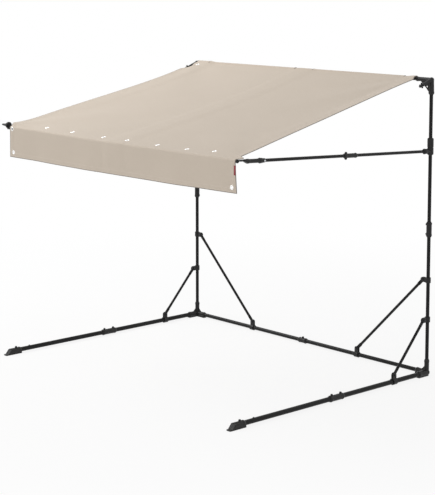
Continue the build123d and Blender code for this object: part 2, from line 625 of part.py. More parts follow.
for name, side in SIDES.items():
    up = (0, 0, 1)
    forward = (0, -1, 0)
    inward = (-side, 0, 0)
    arm_start = arm_plane(side, 0)
    arm_axis = tuple(arm_start.z_dir)
    arm_up = tuple(arm_start.y_dir)
    arm_down = tuple(-arm_start.y_dir)

    # Floor rail: a rear and a front tube, joined halfway and ended by a foot
    rail_rear_start = SOCKET_SEAT + END_GAP
    rail_front_start = RAIL_SPLICE_REACH + HALF_WEB
    rail_front_end = FOOT_REACH - TOE_LENGTH - FOOT_STOP - END_GAP
    rear_tube_plane = leg_plane(side_point(side, POST_Y - rail_rear_start, RAIL_HEIGHT), forward)
    front_tube_plane = leg_plane(side_point(side, POST_Y - rail_front_start, RAIL_HEIGHT), forward)
    rail_centre = side_point(side, POST_Y - RAIL_SPLICE_REACH, RAIL_HEIGHT)
    rail_bosses = [(-RAIL_BOSS_SPREAD, up), (RAIL_BOSS_SPREAD, up)]
    rear_rail = tube(rear_tube_plane, RAIL_DIAMETER, RAIL_SPLICE_REACH - HALF_WEB - rail_rear_start)
    front_rail = tube(front_tube_plane, RAIL_DIAMETER, rail_front_end - rail_front_start)
    rail_splice = splice(rail_centre, forward, RAIL_DIAMETER, RAIL_SPLICE_LENGTH, rail_bosses)
    hand_over(rear_rail, f"{name}_rail_rear_tube")
    hand_over(front_rail, f"{name}_rail_front_tube")
    hand_over(rail_splice, f"{name}_rail_splice")
    hand_over(foot(side), f"{name}_foot")
    hand_over(base_corner(side), f"{name}_base_corner")

    # Post: three tubes, joined by a splice and by the arm's tee
    post_start = RAIL_HEIGHT + SOCKET_SEAT + END_GAP
    post_end = TOP_BAR_HEIGHT - SOCKET_SEAT - END_GAP
    post_spans = {
        "lower": (post_start, POST_SPLICE_HEIGHT - HALF_WEB),
        "middle": (POST_SPLICE_HEIGHT + HALF_WEB, TEE_JOIN_HEIGHT - HALF_WEB),
        "upper": (TEE_JOIN_HEIGHT + HALF_WEB, post_end),
    }
    for span, (low, high) in post_spans.items():
        post_tube = tube(leg_plane(side_point(side, POST_Y, low), up), POST_DIAMETER, high - low)
        hand_over(post_tube, f"{name}_post_{span}_tube")
    post_boss_spread = POST_SPLICE_LENGTH / 2 - BOSS_INSET
    post_bosses = [(-post_boss_spread, inward), (post_boss_spread, inward)]
    post_centre = side_point(side, POST_Y, POST_SPLICE_HEIGHT)
    post_splice = splice(
        post_centre,
        up,
        POST_DIAMETER,
        POST_SPLICE_LENGTH,
        post_bosses,
        swell=POST_SPLICE_SWELL,
    )
    hand_over(post_splice, f"{name}_post_splice")
    hand_over(arm_tee(side), f"{name}_arm_tee")
    hand_over(top_corner(side), f"{name}_top_corner")

    # Arm: a rear and a front tube, joined by a splice and ended by the front corner
    arm_rear_start = TEE_RADIUS + END_GAP
    arm_front_start = ARM_SPLICE_REACH + HALF_WEB
    arm_front_end = ARM_REACH - FRONT_SLEEVE_SEAT - END_GAP
    arm_centre = arm_plane(side, ARM_SPLICE_REACH).origin
    arm_boss_place = ARM_SPLICE_LENGTH / 2 - BOSS_INSET
    arm_bosses = [(arm_boss_place, arm_up), (arm_boss_place, arm_down)]
    arm_rear_length = ARM_SPLICE_REACH - HALF_WEB - arm_rear_start
    rear_arm = tube(arm_plane(side, arm_rear_start), ARM_DIAMETER, arm_rear_length)
    front_arm = tube(arm_plane(side, arm_front_start), ARM_DIAMETER, arm_front_end - arm_front_start)
    hand_over(rear_arm, f"{name}_arm_rear_tube")
    hand_over(front_arm, f"{name}_arm_front_tube")
    arm_splice = splice(arm_centre, arm_axis, ARM_DIAMETER, ARM_SPLICE_LENGTH, arm_bosses)
    hand_over(arm_splice, f"{name}_arm_splice")
    hand_over(front_corner(side), f"{name}_front_corner")

    # Rear brace, in the plane of the posts, down to the rear floor bar
    rear_high = side_point(side, POST_Y, REAR_BRACE_HEIGHT)
    rear_low = rear_high + Vector(-side * REAR_BRACE_RUN, 0, RAIL_HEIGHT - REAR_BRACE_HEIGHT)
    rear_high_pivot = rear_high + Vector(-side * EAR_REACH, 0, 0)
    rear_low_pivot = rear_low + Vector(0, 0, EAR_REACH)
    high_clamp = Plane(origin=rear_high, x_dir=inward, z_dir=up)
    low_clamp = Plane(origin=rear_low, x_dir=up, z_dir=inward)
    rear_clamps = clamp_pair(high_clamp, POST_DIAMETER, low_clamp, FLOOR_BAR_DIAMETER)
    hand_over(brace(rear_high_pivot, rear_low_pivot, (0, 1, 0)), f"{name}_rear_brace")
    hand_over(rear_clamps, f"{name}_rear_brace_clamps")

    # Side brace, in the plane of the arm, down to the floor rail
    side_high = side_point(side, POST_Y, SIDE_BRACE_HEIGHT)
    side_low = side_high + Vector(0, -SIDE_BRACE_RUN, RAIL_HEIGHT - SIDE_BRACE_HEIGHT)
    side_high_pivot = side_high + Vector(0, -EAR_REACH, 0)
    side_low_pivot = side_low + Vector(0, 0, EAR_REACH)
    high_clamp = Plane(origin=side_high, x_dir=forward, z_dir=up)
    low_clamp = Plane(origin=side_low, x_dir=up, z_dir=forward)
    side_clamps = clamp_pair(high_clamp, POST_DIAMETER, low_clamp, RAIL_DIAMETER)
    hand_over(brace(side_high_pivot, side_low_pivot, (1, 0, 0)), f"{name}_side_brace")
    hand_over(side_clamps, f"{name}_side_brace_clamps")


def cross_bar(y, z, diameter, seat):
    """The two tubes of a bar between the left and right mouldings, which meet at the middle."""
    length = POST_X - seat - END_GAP - HALF_WEB
    starts = [leg_plane((MIDDLE_X + side * HALF_WEB, y, z), (side, 0, 0)) for side in SIDES.values()]
    halves = [tube(plane, diameter, length).part for plane in starts]
    with BuildPart() as piece:
        for half in halves:
            add(half)
    return piece


# Cross bars: rear floor bar, top bar and front bar, each joined at the middle
rightward = (1, 0, 0)
floor_bosses = [(0, (0, 0, 1))]
bar_bosses = [(0, (0, 0, -1))]
floor_middle = (MIDDLE_X, POST_Y, RAIL_HEIGHT)
top_middle = (MIDDLE_X, POST_Y, TOP_BAR_HEIGHT)
front_middle = (MIDDLE_X, FRONT_Y, FRONT_Z)
floor_splice = splice(floor_middle, rightward, FLOOR_BAR_DIAMETER, FLOOR_SPLICE_LENGTH, floor_bosses)
top_splice = splice(top_middle, rightward, BAR_DIAMETER, BAR_SPLICE_LENGTH, bar_bosses, plain_sleeve)
front_splice = splice(front_middle, rightward, BAR_DIAMETER, BAR_SPLICE_LENGTH, bar_bosses, plain_sleeve)
hand_over(cross_bar(POST_Y, RAIL_HEIGHT, FLOOR_BAR_DIAMETER, SOCKET_SEAT), "rear_floor_bar")
hand_over(cross_bar(POST_Y, TOP_BAR_HEIGHT, BAR_DIAMETER, SOCKET_SEAT), "top_bar")
hand_over(cross_bar(FRONT_Y, FRONT_Z, BAR_DIAMETER, FRONT_CAP_INSET), "front_bar")
hand_over(floor_splice, "rear_floor_splice")
hand_over(top_splice, "top_bar_splice")
hand_over(front_splice, "front_bar_splice")
hand_over(canopy_cloth(), "canopy_cloth")
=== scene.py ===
"""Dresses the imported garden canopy: cloth, fastenings, finishes, floor, light and camera."""

import logging
import math
from dataclasses import dataclass, field
from enum import Enum
from typing import Callable, Iterable, Sequence

import bpy
from mathutils import Matrix, Vector


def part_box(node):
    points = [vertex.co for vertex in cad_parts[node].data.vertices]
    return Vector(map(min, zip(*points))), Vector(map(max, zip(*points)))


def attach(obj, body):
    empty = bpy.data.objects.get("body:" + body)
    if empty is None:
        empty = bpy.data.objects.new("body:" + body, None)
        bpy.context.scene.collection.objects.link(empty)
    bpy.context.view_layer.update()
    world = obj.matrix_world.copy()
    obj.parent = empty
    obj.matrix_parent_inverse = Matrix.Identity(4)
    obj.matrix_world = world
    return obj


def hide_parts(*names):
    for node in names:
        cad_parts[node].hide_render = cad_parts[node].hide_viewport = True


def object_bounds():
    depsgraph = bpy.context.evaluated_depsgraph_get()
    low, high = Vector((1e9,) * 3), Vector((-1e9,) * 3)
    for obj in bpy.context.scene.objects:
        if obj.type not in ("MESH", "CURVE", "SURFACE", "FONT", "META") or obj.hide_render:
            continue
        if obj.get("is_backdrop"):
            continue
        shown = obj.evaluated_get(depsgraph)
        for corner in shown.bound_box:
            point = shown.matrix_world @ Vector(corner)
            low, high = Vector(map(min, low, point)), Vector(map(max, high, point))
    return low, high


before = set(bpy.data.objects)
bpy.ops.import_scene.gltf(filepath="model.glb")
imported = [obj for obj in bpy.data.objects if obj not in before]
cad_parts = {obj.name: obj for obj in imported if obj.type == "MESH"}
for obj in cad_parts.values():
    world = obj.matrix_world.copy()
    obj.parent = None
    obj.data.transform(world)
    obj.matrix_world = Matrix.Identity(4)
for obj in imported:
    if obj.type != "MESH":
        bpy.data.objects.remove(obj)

LOG = logging.getLogger("garden_canopy")

# The sheet's UV maps: places on its flat pattern, and distances in from its edges
FLAT_MAP = "flat"
GAP_MAP = "gaps"

ORIGIN = (0.0, 0.0, 0.0)
# How nearly a face's normal follows Z to count as level, and how near points count as one
LEVEL = 0.99
TOUCHING = 1e-6
# Edges sharper than this many degrees stay crisp on cloth
CLOTH_ANGLE = 40.0
# The broad mottle's scale as a share of the fine grain's
MOTTLE_SHARE = 0.02

Colour = tuple[float, float, float]
Point = tuple[float, float, float]
Span = tuple[float, float]
Places = dict[str, tuple[Vector, Vector]]


class Side(Enum):
    """The canopy's two sides, with the sign of their place along X."""

    LEFT = -1
    RIGHT = 1

    @property
    def word(self) -> str:
        """The side as it stands in piece names."""
        return self.name.lower()


class Slot(Enum):
    """Names for material slots."""

    TUBE = "tube"
    MOULDING = "moulding"
    CLOTH = "cloth"


# Workbench: the modelling moves that every sub-assembly shares


def clear_bench() -> None:
    """Goes back to object mode with nothing selected."""
    if bpy.context.object is not None and bpy.context.object.mode != "OBJECT":
        bpy.ops.object.mode_set(mode="OBJECT")
    bpy.ops.object.select_all(action="DESELECT")


def take_up(piece: bpy.types.Object) -> None:
    """Selects one piece alone and makes it the active one.

    Args:
        piece: The piece to select.
    """
    clear_bench()
    piece.select_set(True)
    bpy.context.view_layer.objects.active = piece


def pick_faces(piece: bpy.types.Object, wanted: Callable[[bpy.types.MeshPolygon], bool]) -> None:
    """Opens a piece in edit mode with only the wanted faces selected.

    Args:
        piece: The mesh piece to open.
        wanted: Says of each face whether it is selected.
    """
    take_up(piece)
    bpy.ops.object.mode_set(mode="EDIT")
    bpy.ops.mesh.select_mode(type="FACE")
    bpy.ops.mesh.select_all(action="DESELECT")
    bpy.ops.object.mode_set(mode="OBJECT")
    for face in piece.data.polygons:
        face.select = wanted(face)
    bpy.ops.object.mode_set(mode="EDIT")


def faces_up(face: bpy.types.MeshPolygon) -> bool:
    """True for a face that looks straight up."""
    return face.normal.z > LEVEL


def extrude_up(height: float) -> None:
    """Extrudes the selected faces straight up."""
    bpy.ops.mesh.extrude_region_move(TRANSFORM_OT_translate={"value": (0.0, 0.0, height)})


def inset_up(inset: float, rise: float) -> None:
    """Insets the selected faces and raises what is left."""
    bpy.ops.mesh.inset(thickness=inset)
    bpy.ops.transform.translate(value=(0.0, 0.0, rise))


def apply_modifier(piece: bpy.types.Object, kind: str, **settings: object) -> None:
    """Adds a modifier with its settings and applies it at once.

    Args:
        piece: The piece that is modified.
        kind: Blender's name for the modifier type.
        settings: The modifier's own properties.
    """
    modifier = piece.modifiers.new(kind.title(), kind)
    for key, value in settings.items():
        setattr(modifier, key, value)
    take_up(piece)
    bpy.ops.object.modifier_apply(modifier=modifier.name)


def join_pieces(pieces: Sequence[bpy.types.Object], name: str) -> bpy.types.Object:
    """Joins pieces into the first of them, with its place in its mesh.

    Args:
        pieces: The pieces to join.
        name: The joined piece's name.

    Returns:
        The joined piece, at the origin.
    """
    clear_bench()
    for piece in pieces:
        piece.select_set(True)
    bpy.context.view_layer.objects.active = pieces[0]
    bpy.ops.object.join()
    bpy.ops.object.transform_apply(location=True, rotation=True, scale=True)
    pieces[0].name = name
    pieces[0].data.name = name
    return pieces[0]


def close_and_turn_out(piece: bpy.types.Object) -> None:
    """Merges a piece's doubled points and points its faces outwards.

    Args:
        piece: The mesh piece to mend.
    """
    take_up(piece)
    bpy.ops.object.mode_set(mode="EDIT")
    bpy.ops.mesh.select_all(action="SELECT")
    bpy.ops.mesh.remove_doubles(threshold=TOUCHING)
    bpy.ops.mesh.normals_make_consistent(inside=False)
    bpy.ops.object.mode_set(mode="OBJECT")


def smooth_by_angle(piece: bpy.types.Object, degrees: float) -> None:
    """Shades a piece smooth except over edges sharper than an angle."""
    take_up(piece)
    bpy.ops.object.shade_smooth_by_angle(angle=math.radians(degrees))


def copy_to(pattern: bpy.types.Object, name: str, place: Matrix) -> bpy.types.Object:
    """Copies a modelled piece, with a mesh of its own, to a place.

    Args:
        pattern: The piece that was modelled at the origin.
        name: The copy's name.
        place: Where the copy goes, as a matrix that is put into its mesh.

    Returns:
        The copy.
    """
    mesh = pattern.data.copy()
    mesh.name = name
    mesh.transform(place)
    copy = bpy.data.objects.new(name, mesh)
    bpy.context.scene.collection.objects.link(copy)
    return copy


def put_away(pattern: bpy.types.Object) -> None:
    """Removes a pattern that has been copied to all its places.

    Args:
        pattern: The pattern to remove.
    """
    mesh = pattern.data
    bpy.data.objects.remove(pattern)
    bpy.data.meshes.remove(mesh)


def facing(place: Vector, direction: Vector) -> Matrix:
    """A place whose Z runs along a direction."""
    return Matrix.Translation(place) @ direction.to_track_quat("Z", "Y").to_matrix().to_4x4()


def aimed(place: Vector, look: Vector) -> Matrix:
    """A place for a lamp or a camera that looks along a direction."""
    return Matrix.Translation(place) @ look.to_track_quat("-Z", "Y").to_matrix().to_4x4()


def middle_of(spots: Sequence[Vector]) -> Vector:
    """The mean of several points."""
    return sum(spots, Vector()) / len(spots)


def ease(start: float, end: float, value: float) -> float:
    """A smooth step from 0 at start to 1 at end."""
    share = min(1.0, max(0.0, (value - start) / (end - start)))
    return share * share * (3.0 - 2.0 * share)


def bump(start: float, top: float, end: float, value: float) -> float:
    """A smooth rise from 0 at start to 1 at the top and back to 0 at end."""
    return ease(start, top, value) * ease(end, top, value)


def even(count: int) -> list[float]:
    """Even shares from 0 to 1."""
    return [step / count for step in range(count + 1)]


# Finishes


class Graph:
    """A node tree that is being wired."""

    def __init__(self, tree: bpy.types.NodeTree) -> None:
        """Takes up a tree and empties it."""
        self.tree = tree
        tree.nodes.clear()

    def add(self, kind: str, **settings: object) -> bpy.types.Node:
        """Adds a node.

        Args:
            kind: The node's type.
            settings: The node's own properties.

        Returns:
            The new node.
        """
        node = self.tree.nodes.new(kind)
        for key, value in settings.items():
            setattr(node, key, value)
        return node

    def feed(self, socket: bpy.types.NodeSocket, value: object) -> None:
        """Links another socket into a socket, or sets its value.

        Args:
            socket: The socket that is fed.
            value: The socket to link, or the value to set.
        """
        if isinstance(value, bpy.types.NodeSocket):
            self.tree.links.new(value, socket)
        else:
            socket.default_value = value

    def reckon(
        self, operation: str, first: object, second: object = 0.0, third: object = 0.0
    ) -> bpy.types.NodeSocket:
        """Adds one sum.

        Args:
            operation: Blender's name for it.
            first: The first value or socket.
            second: The second value or socket.
            third: The third value or socket.

        Returns:
            The sum's output.
        """
        node = self.add("ShaderNodeMath", operation=operation)
        for socket, value in zip(node.inputs, (first, second, third)):
            self.feed(socket, value)
        return node.outputs[0]

    def blend(self, share: object, first: object, second: object) -> bpy.types.NodeSocket:
        """Mixes two colours.

        Args:
            share: How much of the second colour shows, from 0 to 1.
            first: The first colour or socket.
            second: The second colour or socket.

        Returns:
            The mixed colour.
        """
        node = self.add("ShaderNodeMix", data_type="RGBA")
        for index, value in ((0, share), (6, first), (7, second)):
            self.feed(node.inputs[index], (*value, 1.0) if isinstance(value, tuple) else value)
        return node.outputs[2]

    def spread(self, value: object, low: float, high: float) -> bpy.types.NodeSocket:
        """Maps a value from 0 to 1 onto low to high.

        Args:
            value: The value or socket to map.
            low: What 0 becomes.
            high: What 1 becomes.

        Returns:
            The mapped value.
        """
        node = self.add("ShaderNodeMapRange")
        self.feed(node.inputs["Value"], value)
        node.inputs["To Min"].default_value = low
        node.inputs["To Max"].default_value = high
        return node.outputs["Result"]

    def noise(
        self, vector: bpy.types.NodeSocket, scale: object, detail: float
    ) -> bpy.types.NodeSocket:
        """Adds a noise texture.

        Args:
            vector: The place that the noise is read at.
            scale: How fine the noise is.
            detail: How many finer layers it has.

        Returns:
            The noise's value.
        """
        node = self.add("ShaderNodeTexNoise")
        self.feed(node.inputs["Vector"], vector)
        self.feed(node.inputs["Scale"], scale)
        node.inputs["Detail"].default_value = detail
        return node.outputs["Fac"]

    def bump(
        self,
        height: object,
        distance: float,
        strength: float,
        under: bpy.types.NodeSocket | None = None,
    ) -> bpy.types.NodeSocket:
        """Turns a height into a normal.

        Args:
            height: The height's socket.
            distance: The relief's depth.
            strength: How much of the relief shows.
            under: The normal that the relief lies on, if it isn't the surface's own.

        Returns:
            The normal.
        """
        node = self.add("ShaderNodeBump")
        node.inputs["Distance"].default_value = distance
        node.inputs["Strength"].default_value = strength
        self.feed(node.inputs["Height"], height)
        if under is not None:
            self.feed(node.inputs["Normal"], under)
        return node.outputs["Normal"]


def new_group(name: str, inputs: Iterable[tuple[str, str]], outputs: Iterable[str]) -> Graph:
    """Starts a shader node group with named sockets.

    Args:
        name: The group's name.
        inputs: Each input's name and socket type.
        outputs: Each value output's name.

    Returns:
        The group's empty graph.
    """
    tree = bpy.data.node_groups.new(name, "ShaderNodeTree")
    for socket, kind in inputs:
        tree.interface.new_socket(socket, in_out="INPUT", socket_type=kind)
    for socket in outputs:
        tree.interface.new_socket(socket, in_out="OUTPUT", socket_type="NodeSocketFloat")
    return Graph(tree)


def grain_group() -> bpy.types.NodeTree:
    """Builds the grain that coatings, mouldings and metal share.

    Returns:
        A group that puts out a fine height and a broad mottle.
    """
    name = "surface_grain"
    if name in bpy.data.node_groups:
        return bpy.data.node_groups[name]
    inputs = (("Vector", "NodeSocketVector"), ("Grain", "NodeSocketFloat"))
    graph = new_group(name, inputs, ("Height", "Mottle"))
    entry = graph.add("NodeGroupInput")
    leave = graph.add("NodeGroupOutput")
    fine = graph.noise(entry.outputs["Vector"], entry.outputs["Grain"], detail=2.0)
    coarse = graph.reckon("MULTIPLY", entry.outputs["Grain"], MOTTLE_SHARE)
    broad = graph.noise(entry.outputs["Vector"], coarse, detail=4.0)
    graph.feed(leave.inputs["Height"], fine)
    graph.feed(leave.inputs["Mottle"], broad)
    return graph.tree


def weave_group() -> bpy.types.NodeTree:
    """Builds the plain weave that the cloth and the webbing share.

    Returns:
        A group that puts out the threads' height over a flat pattern in metres.
    """
    name = "plain_weave"
    if name in bpy.data.node_groups:
        return bpy.data.node_groups[name]
    inputs = (("Vector", "NodeSocketVector"), ("Threads", "NodeSocketFloat"))
    graph = new_group(name, inputs, ("Height",))
    entry = graph.add("NodeGroupInput")
    leave = graph.add("NodeGroupOutput")
    split = graph.add("ShaderNodeSeparateXYZ")
    graph.feed(split.inputs[0], entry.outputs["Vector"])
    arcs, cells = [], []
    for axis in ("X", "Y"):
        turns = graph.reckon("MULTIPLY", split.outputs[axis], entry.outputs["Threads"])
        wave = graph.reckon("SINE", graph.reckon("MULTIPLY", turns, math.pi))
        arcs.append(graph.reckon("ABSOLUTE", wave))
        cells.append(graph.reckon("FLOOR", turns))
    over = graph.reckon("FLOORED_MODULO", graph.reckon("ADD", *cells), 2.0)
    under = graph.reckon("SUBTRACT", 1.0, over)
    warp = graph.reckon("MULTIPLY", arcs[0], over)
    graph.feed(leave.inputs["Height"], graph.reckon("MULTIPLY_ADD", arcs[1], under, warp))
    return graph.tree


def use_group(graph: Graph, tree: bpy.types.NodeTree, **inputs: object) -> bpy.types.Node:
    """Places a node group in a graph with its inputs fed.

    Args:
        graph: The graph that takes the group.
        tree: The group.
        inputs: What each of its inputs is fed.

    Returns:
        The placed node.
    """
    node = graph.add("ShaderNodeGroup", node_tree=tree)
    for key, value in inputs.items():
        graph.feed(node.inputs[key], value)
    return node


def new_material(name: str) -> tuple[bpy.types.Material, Graph, bpy.types.Node]:
    """Starts a material with one surface shader.

    Args:
        name: The material's name.

    Returns:
        The material, its graph and its Principled shader.
    """
    material = bpy.data.materials.new(name)
    material.use_nodes = True
    graph = Graph(material.node_tree)
    surface = graph.add("ShaderNodeBsdfPrincipled")
    output = graph.add("ShaderNodeOutputMaterial")
    graph.feed(output.inputs["Surface"], surface.outputs["BSDF"])
    return material, graph, surface


@dataclass(frozen=True)
class GrainedFinish:
    """A coated, moulded or metal surface with a fine grain and a broad mottle."""

    name: str
    dark: Colour
    light: Colour
    roughness: Span
    grain: float
    relief: float
    metallic: float = 0.0
    specular: float = 0.5
    strength: float = 0.6

    def material(self) -> bpy.types.Material:
        """Builds the material on Object coordinates.

        Returns:
            The finished material.
        """
        material, graph, surface = new_material(self.name)
        place = graph.add("ShaderNodeTexCoord")
        grain = use_group(graph, grain_group(), Vector=place.outputs["Object"], Grain=self.grain)
        mottle = grain.outputs["Mottle"]
        normal = graph.bump(grain.outputs["Height"], self.relief, self.strength)
        graph.feed(surface.inputs["Base Color"], graph.blend(mottle, self.dark, self.light))
        graph.feed(surface.inputs["Roughness"], graph.spread(mottle, *self.roughness))
        graph.feed(surface.inputs["Normal"], normal)
        surface.inputs["Metallic"].default_value = self.metallic
        surface.inputs["Specular IOR Level"].default_value = self.specular
        return material


@dataclass(frozen=True)
class CoatedCloth:
    """Coated plain-weave cloth with sewn hems, on the sheet's own flat pattern."""

    name: str = "coated_cloth"
    dark: Colour = (0.562, 0.483, 0.398)
    light: Colour = (0.637, 0.553, 0.463)
    thread: Colour = (0.680, 0.600, 0.510)
    # A dark band along every edge: painted edge shadow of the hems, standing also for a dark
    # binding tape
    binding: Colour = (0.260, 0.225, 0.195)
    binding_width: float = 0.0035
    threads: float = 900.0
    roughness: Span = (0.92, 0.78)
    sheen: float = 0.12
    sheen_roughness: float = 0.5
    specular: float = 0.25
    weave_share: float = 0.25
    fading_scale: float = 2.6
    fading_share: float = 0.55
    slub_scale: float = 160.0
    slub_share: float = 0.35
    weave_relief: float = 0.00025
    weave_strength: float = 0.5
    crumple_scale: float = 7.0
    crumple_relief: float = 0.004
    crumple_strength: float = 0.35
    stitch_pitch: float = 0.0062
    stitch_share: float = 0.66
    stitch_width: float = 0.0009
    stitch_height: float = 2.0
    stitch_rows: tuple[float, ...] = (0.0055, 0.0235)

    def stitches(self, graph: Graph, gap: object, along: object) -> bpy.types.NodeSocket:
        """Masks the sewn rows beside one kind of edge.

        Args:
            graph: The material's graph.
            gap: The distance in from the edge.
            along: The distance along the edge.

        Returns:
            A mask that is 1 on the thread.
        """
        turns = graph.reckon("FRACT", graph.reckon("DIVIDE", along, self.stitch_pitch))
        dash = graph.reckon("LESS_THAN", turns, self.stitch_share)
        rows = [graph.reckon("COMPARE", gap, row, self.stitch_width) for row in self.stitch_rows]
        return graph.reckon("MULTIPLY", graph.reckon("MAXIMUM", *rows), dash)

    def material(self) -> bpy.types.Material:
        """Builds the material on the sheet's UV maps.

        Returns:
            The finished material.
        """
        material, graph, surface = new_material(self.name)
        pattern = graph.add("ShaderNodeUVMap", uv_map=FLAT_MAP).outputs["UV"]
        gaps = graph.add("ShaderNodeUVMap", uv_map=GAP_MAP).outputs["UV"]
        flat_split = graph.add("ShaderNodeSeparateXYZ")
        gap_split = graph.add("ShaderNodeSeparateXYZ")
        graph.feed(flat_split.inputs[0], pattern)
        graph.feed(gap_split.inputs[0], gaps)
        side_rows = self.stitches(graph, gap_split.outputs["X"], flat_split.outputs["Y"])
        end_rows = self.stitches(graph, gap_split.outputs["Y"], flat_split.outputs["X"])
        stitch = graph.reckon("MAXIMUM", side_rows, end_rows)
        weave = use_group(graph, weave_group(), Vector=pattern, Threads=self.threads)
        height = weave.outputs["Height"]
        fading = graph.noise(pattern, self.fading_scale, detail=5.0)
        slub = graph.noise(pattern, self.slub_scale, detail=2.0)
        faded = graph.reckon("MULTIPLY", fading, self.fading_share)
        shade = graph.reckon("MULTIPLY_ADD", height, self.weave_share, faded)
        tone = graph.reckon("MULTIPLY_ADD", slub, self.slub_share, shade)
        cloth = graph.blend(tone, self.dark, self.light)
        sewn = graph.blend(stitch, cloth, self.thread)
        # Darkens a thin band along every edge: painted edge shadow, also standing for a binding
        # tape
        nearest = graph.reckon("MINIMUM", gap_split.outputs["X"], gap_split.outputs["Y"])
        shaded_edge_mask = graph.reckon("LESS_THAN", nearest, self.binding_width)
        graph.feed(surface.inputs["Base Color"], graph.blend(shaded_edge_mask, sewn, self.binding))
        graph.feed(surface.inputs["Roughness"], graph.spread(height, *self.roughness))
        surface.inputs["Sheen Weight"].default_value = self.sheen
        surface.inputs["Sheen Roughness"].default_value = self.sheen_roughness
        surface.inputs["Specular IOR Level"].default_value = self.specular
        creased = graph.noise(pattern, self.crumple_scale, detail=3.0)
        crumple = graph.bump(creased, self.crumple_relief, self.crumple_strength)
        raised = graph.reckon("MULTIPLY_ADD", stitch, self.stitch_height, height)
        normal = graph.bump(raised, self.weave_relief, self.weave_strength, crumple)
        graph.feed(surface.inputs["Normal"], normal)
        return material


@dataclass(frozen=True)
class DyedWebbing:
    """Ribbed dyed webbing on Object coordinates."""

    name: str = "red_webbing"
    dark: Colour = (0.190, 0.012, 0.020)
    light: Colour = (0.330, 0.030, 0.042)
    threads: float = 1100.0
    relief: float = 0.0004
    strength: float = 0.5
    roughness: float = 0.75
    sheen: float = 0.2

    def material(self) -> bpy.types.Material:
        """Builds the material.

        Returns:
            The finished material.
        """
        material, graph, surface = new_material(self.name)
        place = graph.add("ShaderNodeTexCoord")
        stand = graph.add("ShaderNodeMapping")
        stand.inputs["Rotation"].default_value = (math.pi / 2, 0.0, 0.0)
        graph.feed(stand.inputs["Vector"], place.outputs["Object"])
        upright = stand.outputs["Vector"]
        weave = use_group(graph, weave_group(), Vector=upright, Threads=self.threads)
        height = weave.outputs["Height"]
        normal = graph.bump(height, self.relief, self.strength)
        graph.feed(surface.inputs["Base Color"], graph.blend(height, self.dark, self.light))
        graph.feed(surface.inputs["Normal"], normal)
        surface.inputs["Roughness"].default_value = self.roughness
        surface.inputs["Sheen Weight"].default_value = self.sheen
        return material


POWDER_COAT = GrainedFinish(
    name="black_powder_coat",
    dark=(0.002, 0.002, 0.0021),
    light=(0.016, 0.016, 0.0165),
    roughness=(0.26, 0.44),
    grain=900.0,
    relief=0.00025,
    specular=0.17,
)
MOULDED_PLASTIC = GrainedFinish(
    name="black_moulded_plastic",
    dark=(0.003, 0.003, 0.0031),
    light=(0.034, 0.034, 0.035),
    roughness=(0.30, 0.50),
    grain=1500.0,
    relief=0.0003,
    specular=0.24,
)
NICKEL = GrainedFinish(
    name="nickel_eyelet",
    dark=(0.86, 0.85, 0.83),
    light=(0.94, 0.94, 0.93),
    roughness=(0.22, 0.36),
    grain=700.0,
    relief=0.0001,
    metallic=1.0,
)
ZINC = GrainedFinish(
    name="zinc_screw",
    dark=(0.55, 0.56, 0.58),
    light=(0.76, 0.77, 0.79),
    roughness=(0.28, 0.42),
    grain=900.0,
    relief=0.0001,
    metallic=1.0,
)
BLACK_STEEL = GrainedFinish(
    name="blackened_steel",
    dark=(0.030, 0.030, 0.032),
    light=(0.070, 0.070, 0.074),
    roughness=(0.34, 0.48),
    grain=1100.0,
    relief=0.0001,
    metallic=0.8,
)


def hand_over(
    piece: bpy.types.Object, material: bpy.types.Material
) -> bpy.types.Object:
    """Gives a new piece its material and its body, and reports it.

    Args:
        piece: The finished piece.
        material: Its material.

    Returns:
        The piece.
    """
    piece.data.materials.clear()
    piece.data.materials.append(material)
    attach(piece, "root")
    LOG.info("%s: %d faces, %s", piece.name, len(piece.data.polygons), material.name)
    return piece


# Sub-assemblies


@dataclass(frozen=True)
class Support:
    """A stretch of a bar's line where something thicker carries the cloth."""

    span: Span
    radius: float
    ramp: float = 0.07

    def share(self, across: float) -> float:
        """How far the cloth is lifted here, from 0 to 1."""
        start, end = self.span
        return ease(start - self.ramp, start, across) * ease(end + self.ramp, end, across)


SPLICE_SEAT = Support((-0.036, 0.036), 0.01125)
CORNER_SEATS = (Support((-1.0, -0.815), 0.01355), Support((0.815, 1.0), 0.01355))


@dataclass(frozen=True)
class BarSeat:
    """A bar that the cloth turns over, with the fittings on it that stand proud."""

    y: float
    z: float
    radius: float
    supports: tuple[Support, ...]

    @classmethod
    def on(cls, node: str, supports: tuple[Support, ...]) -> "BarSeat":
        """Measures a bar's node and returns its seat."""
        low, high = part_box(node)
        return cls((low.y + high.y) / 2, (low.z + high.z) / 2, (high.z - low.z) / 2, supports)

    def reach(self, across: float) -> float:
        """The radius that carries the cloth at a place along the bar."""
        rises = [(item.radius - self.radius) * item.share(across) for item in self.supports]
        return self.radius + max(rises)


class Stretch(Enum):
    """The stretches of the sheet, from its rear edge to its bottom hem."""

    REAR = "rear"
    SLOPE = "slope"
    FRONT = "front"
    VALANCE = "valance"


# The greatest value of x(1 - x)^2, a third of the way from 0 to 1
HOLLOW_PEAK = 4.0 / 27.0


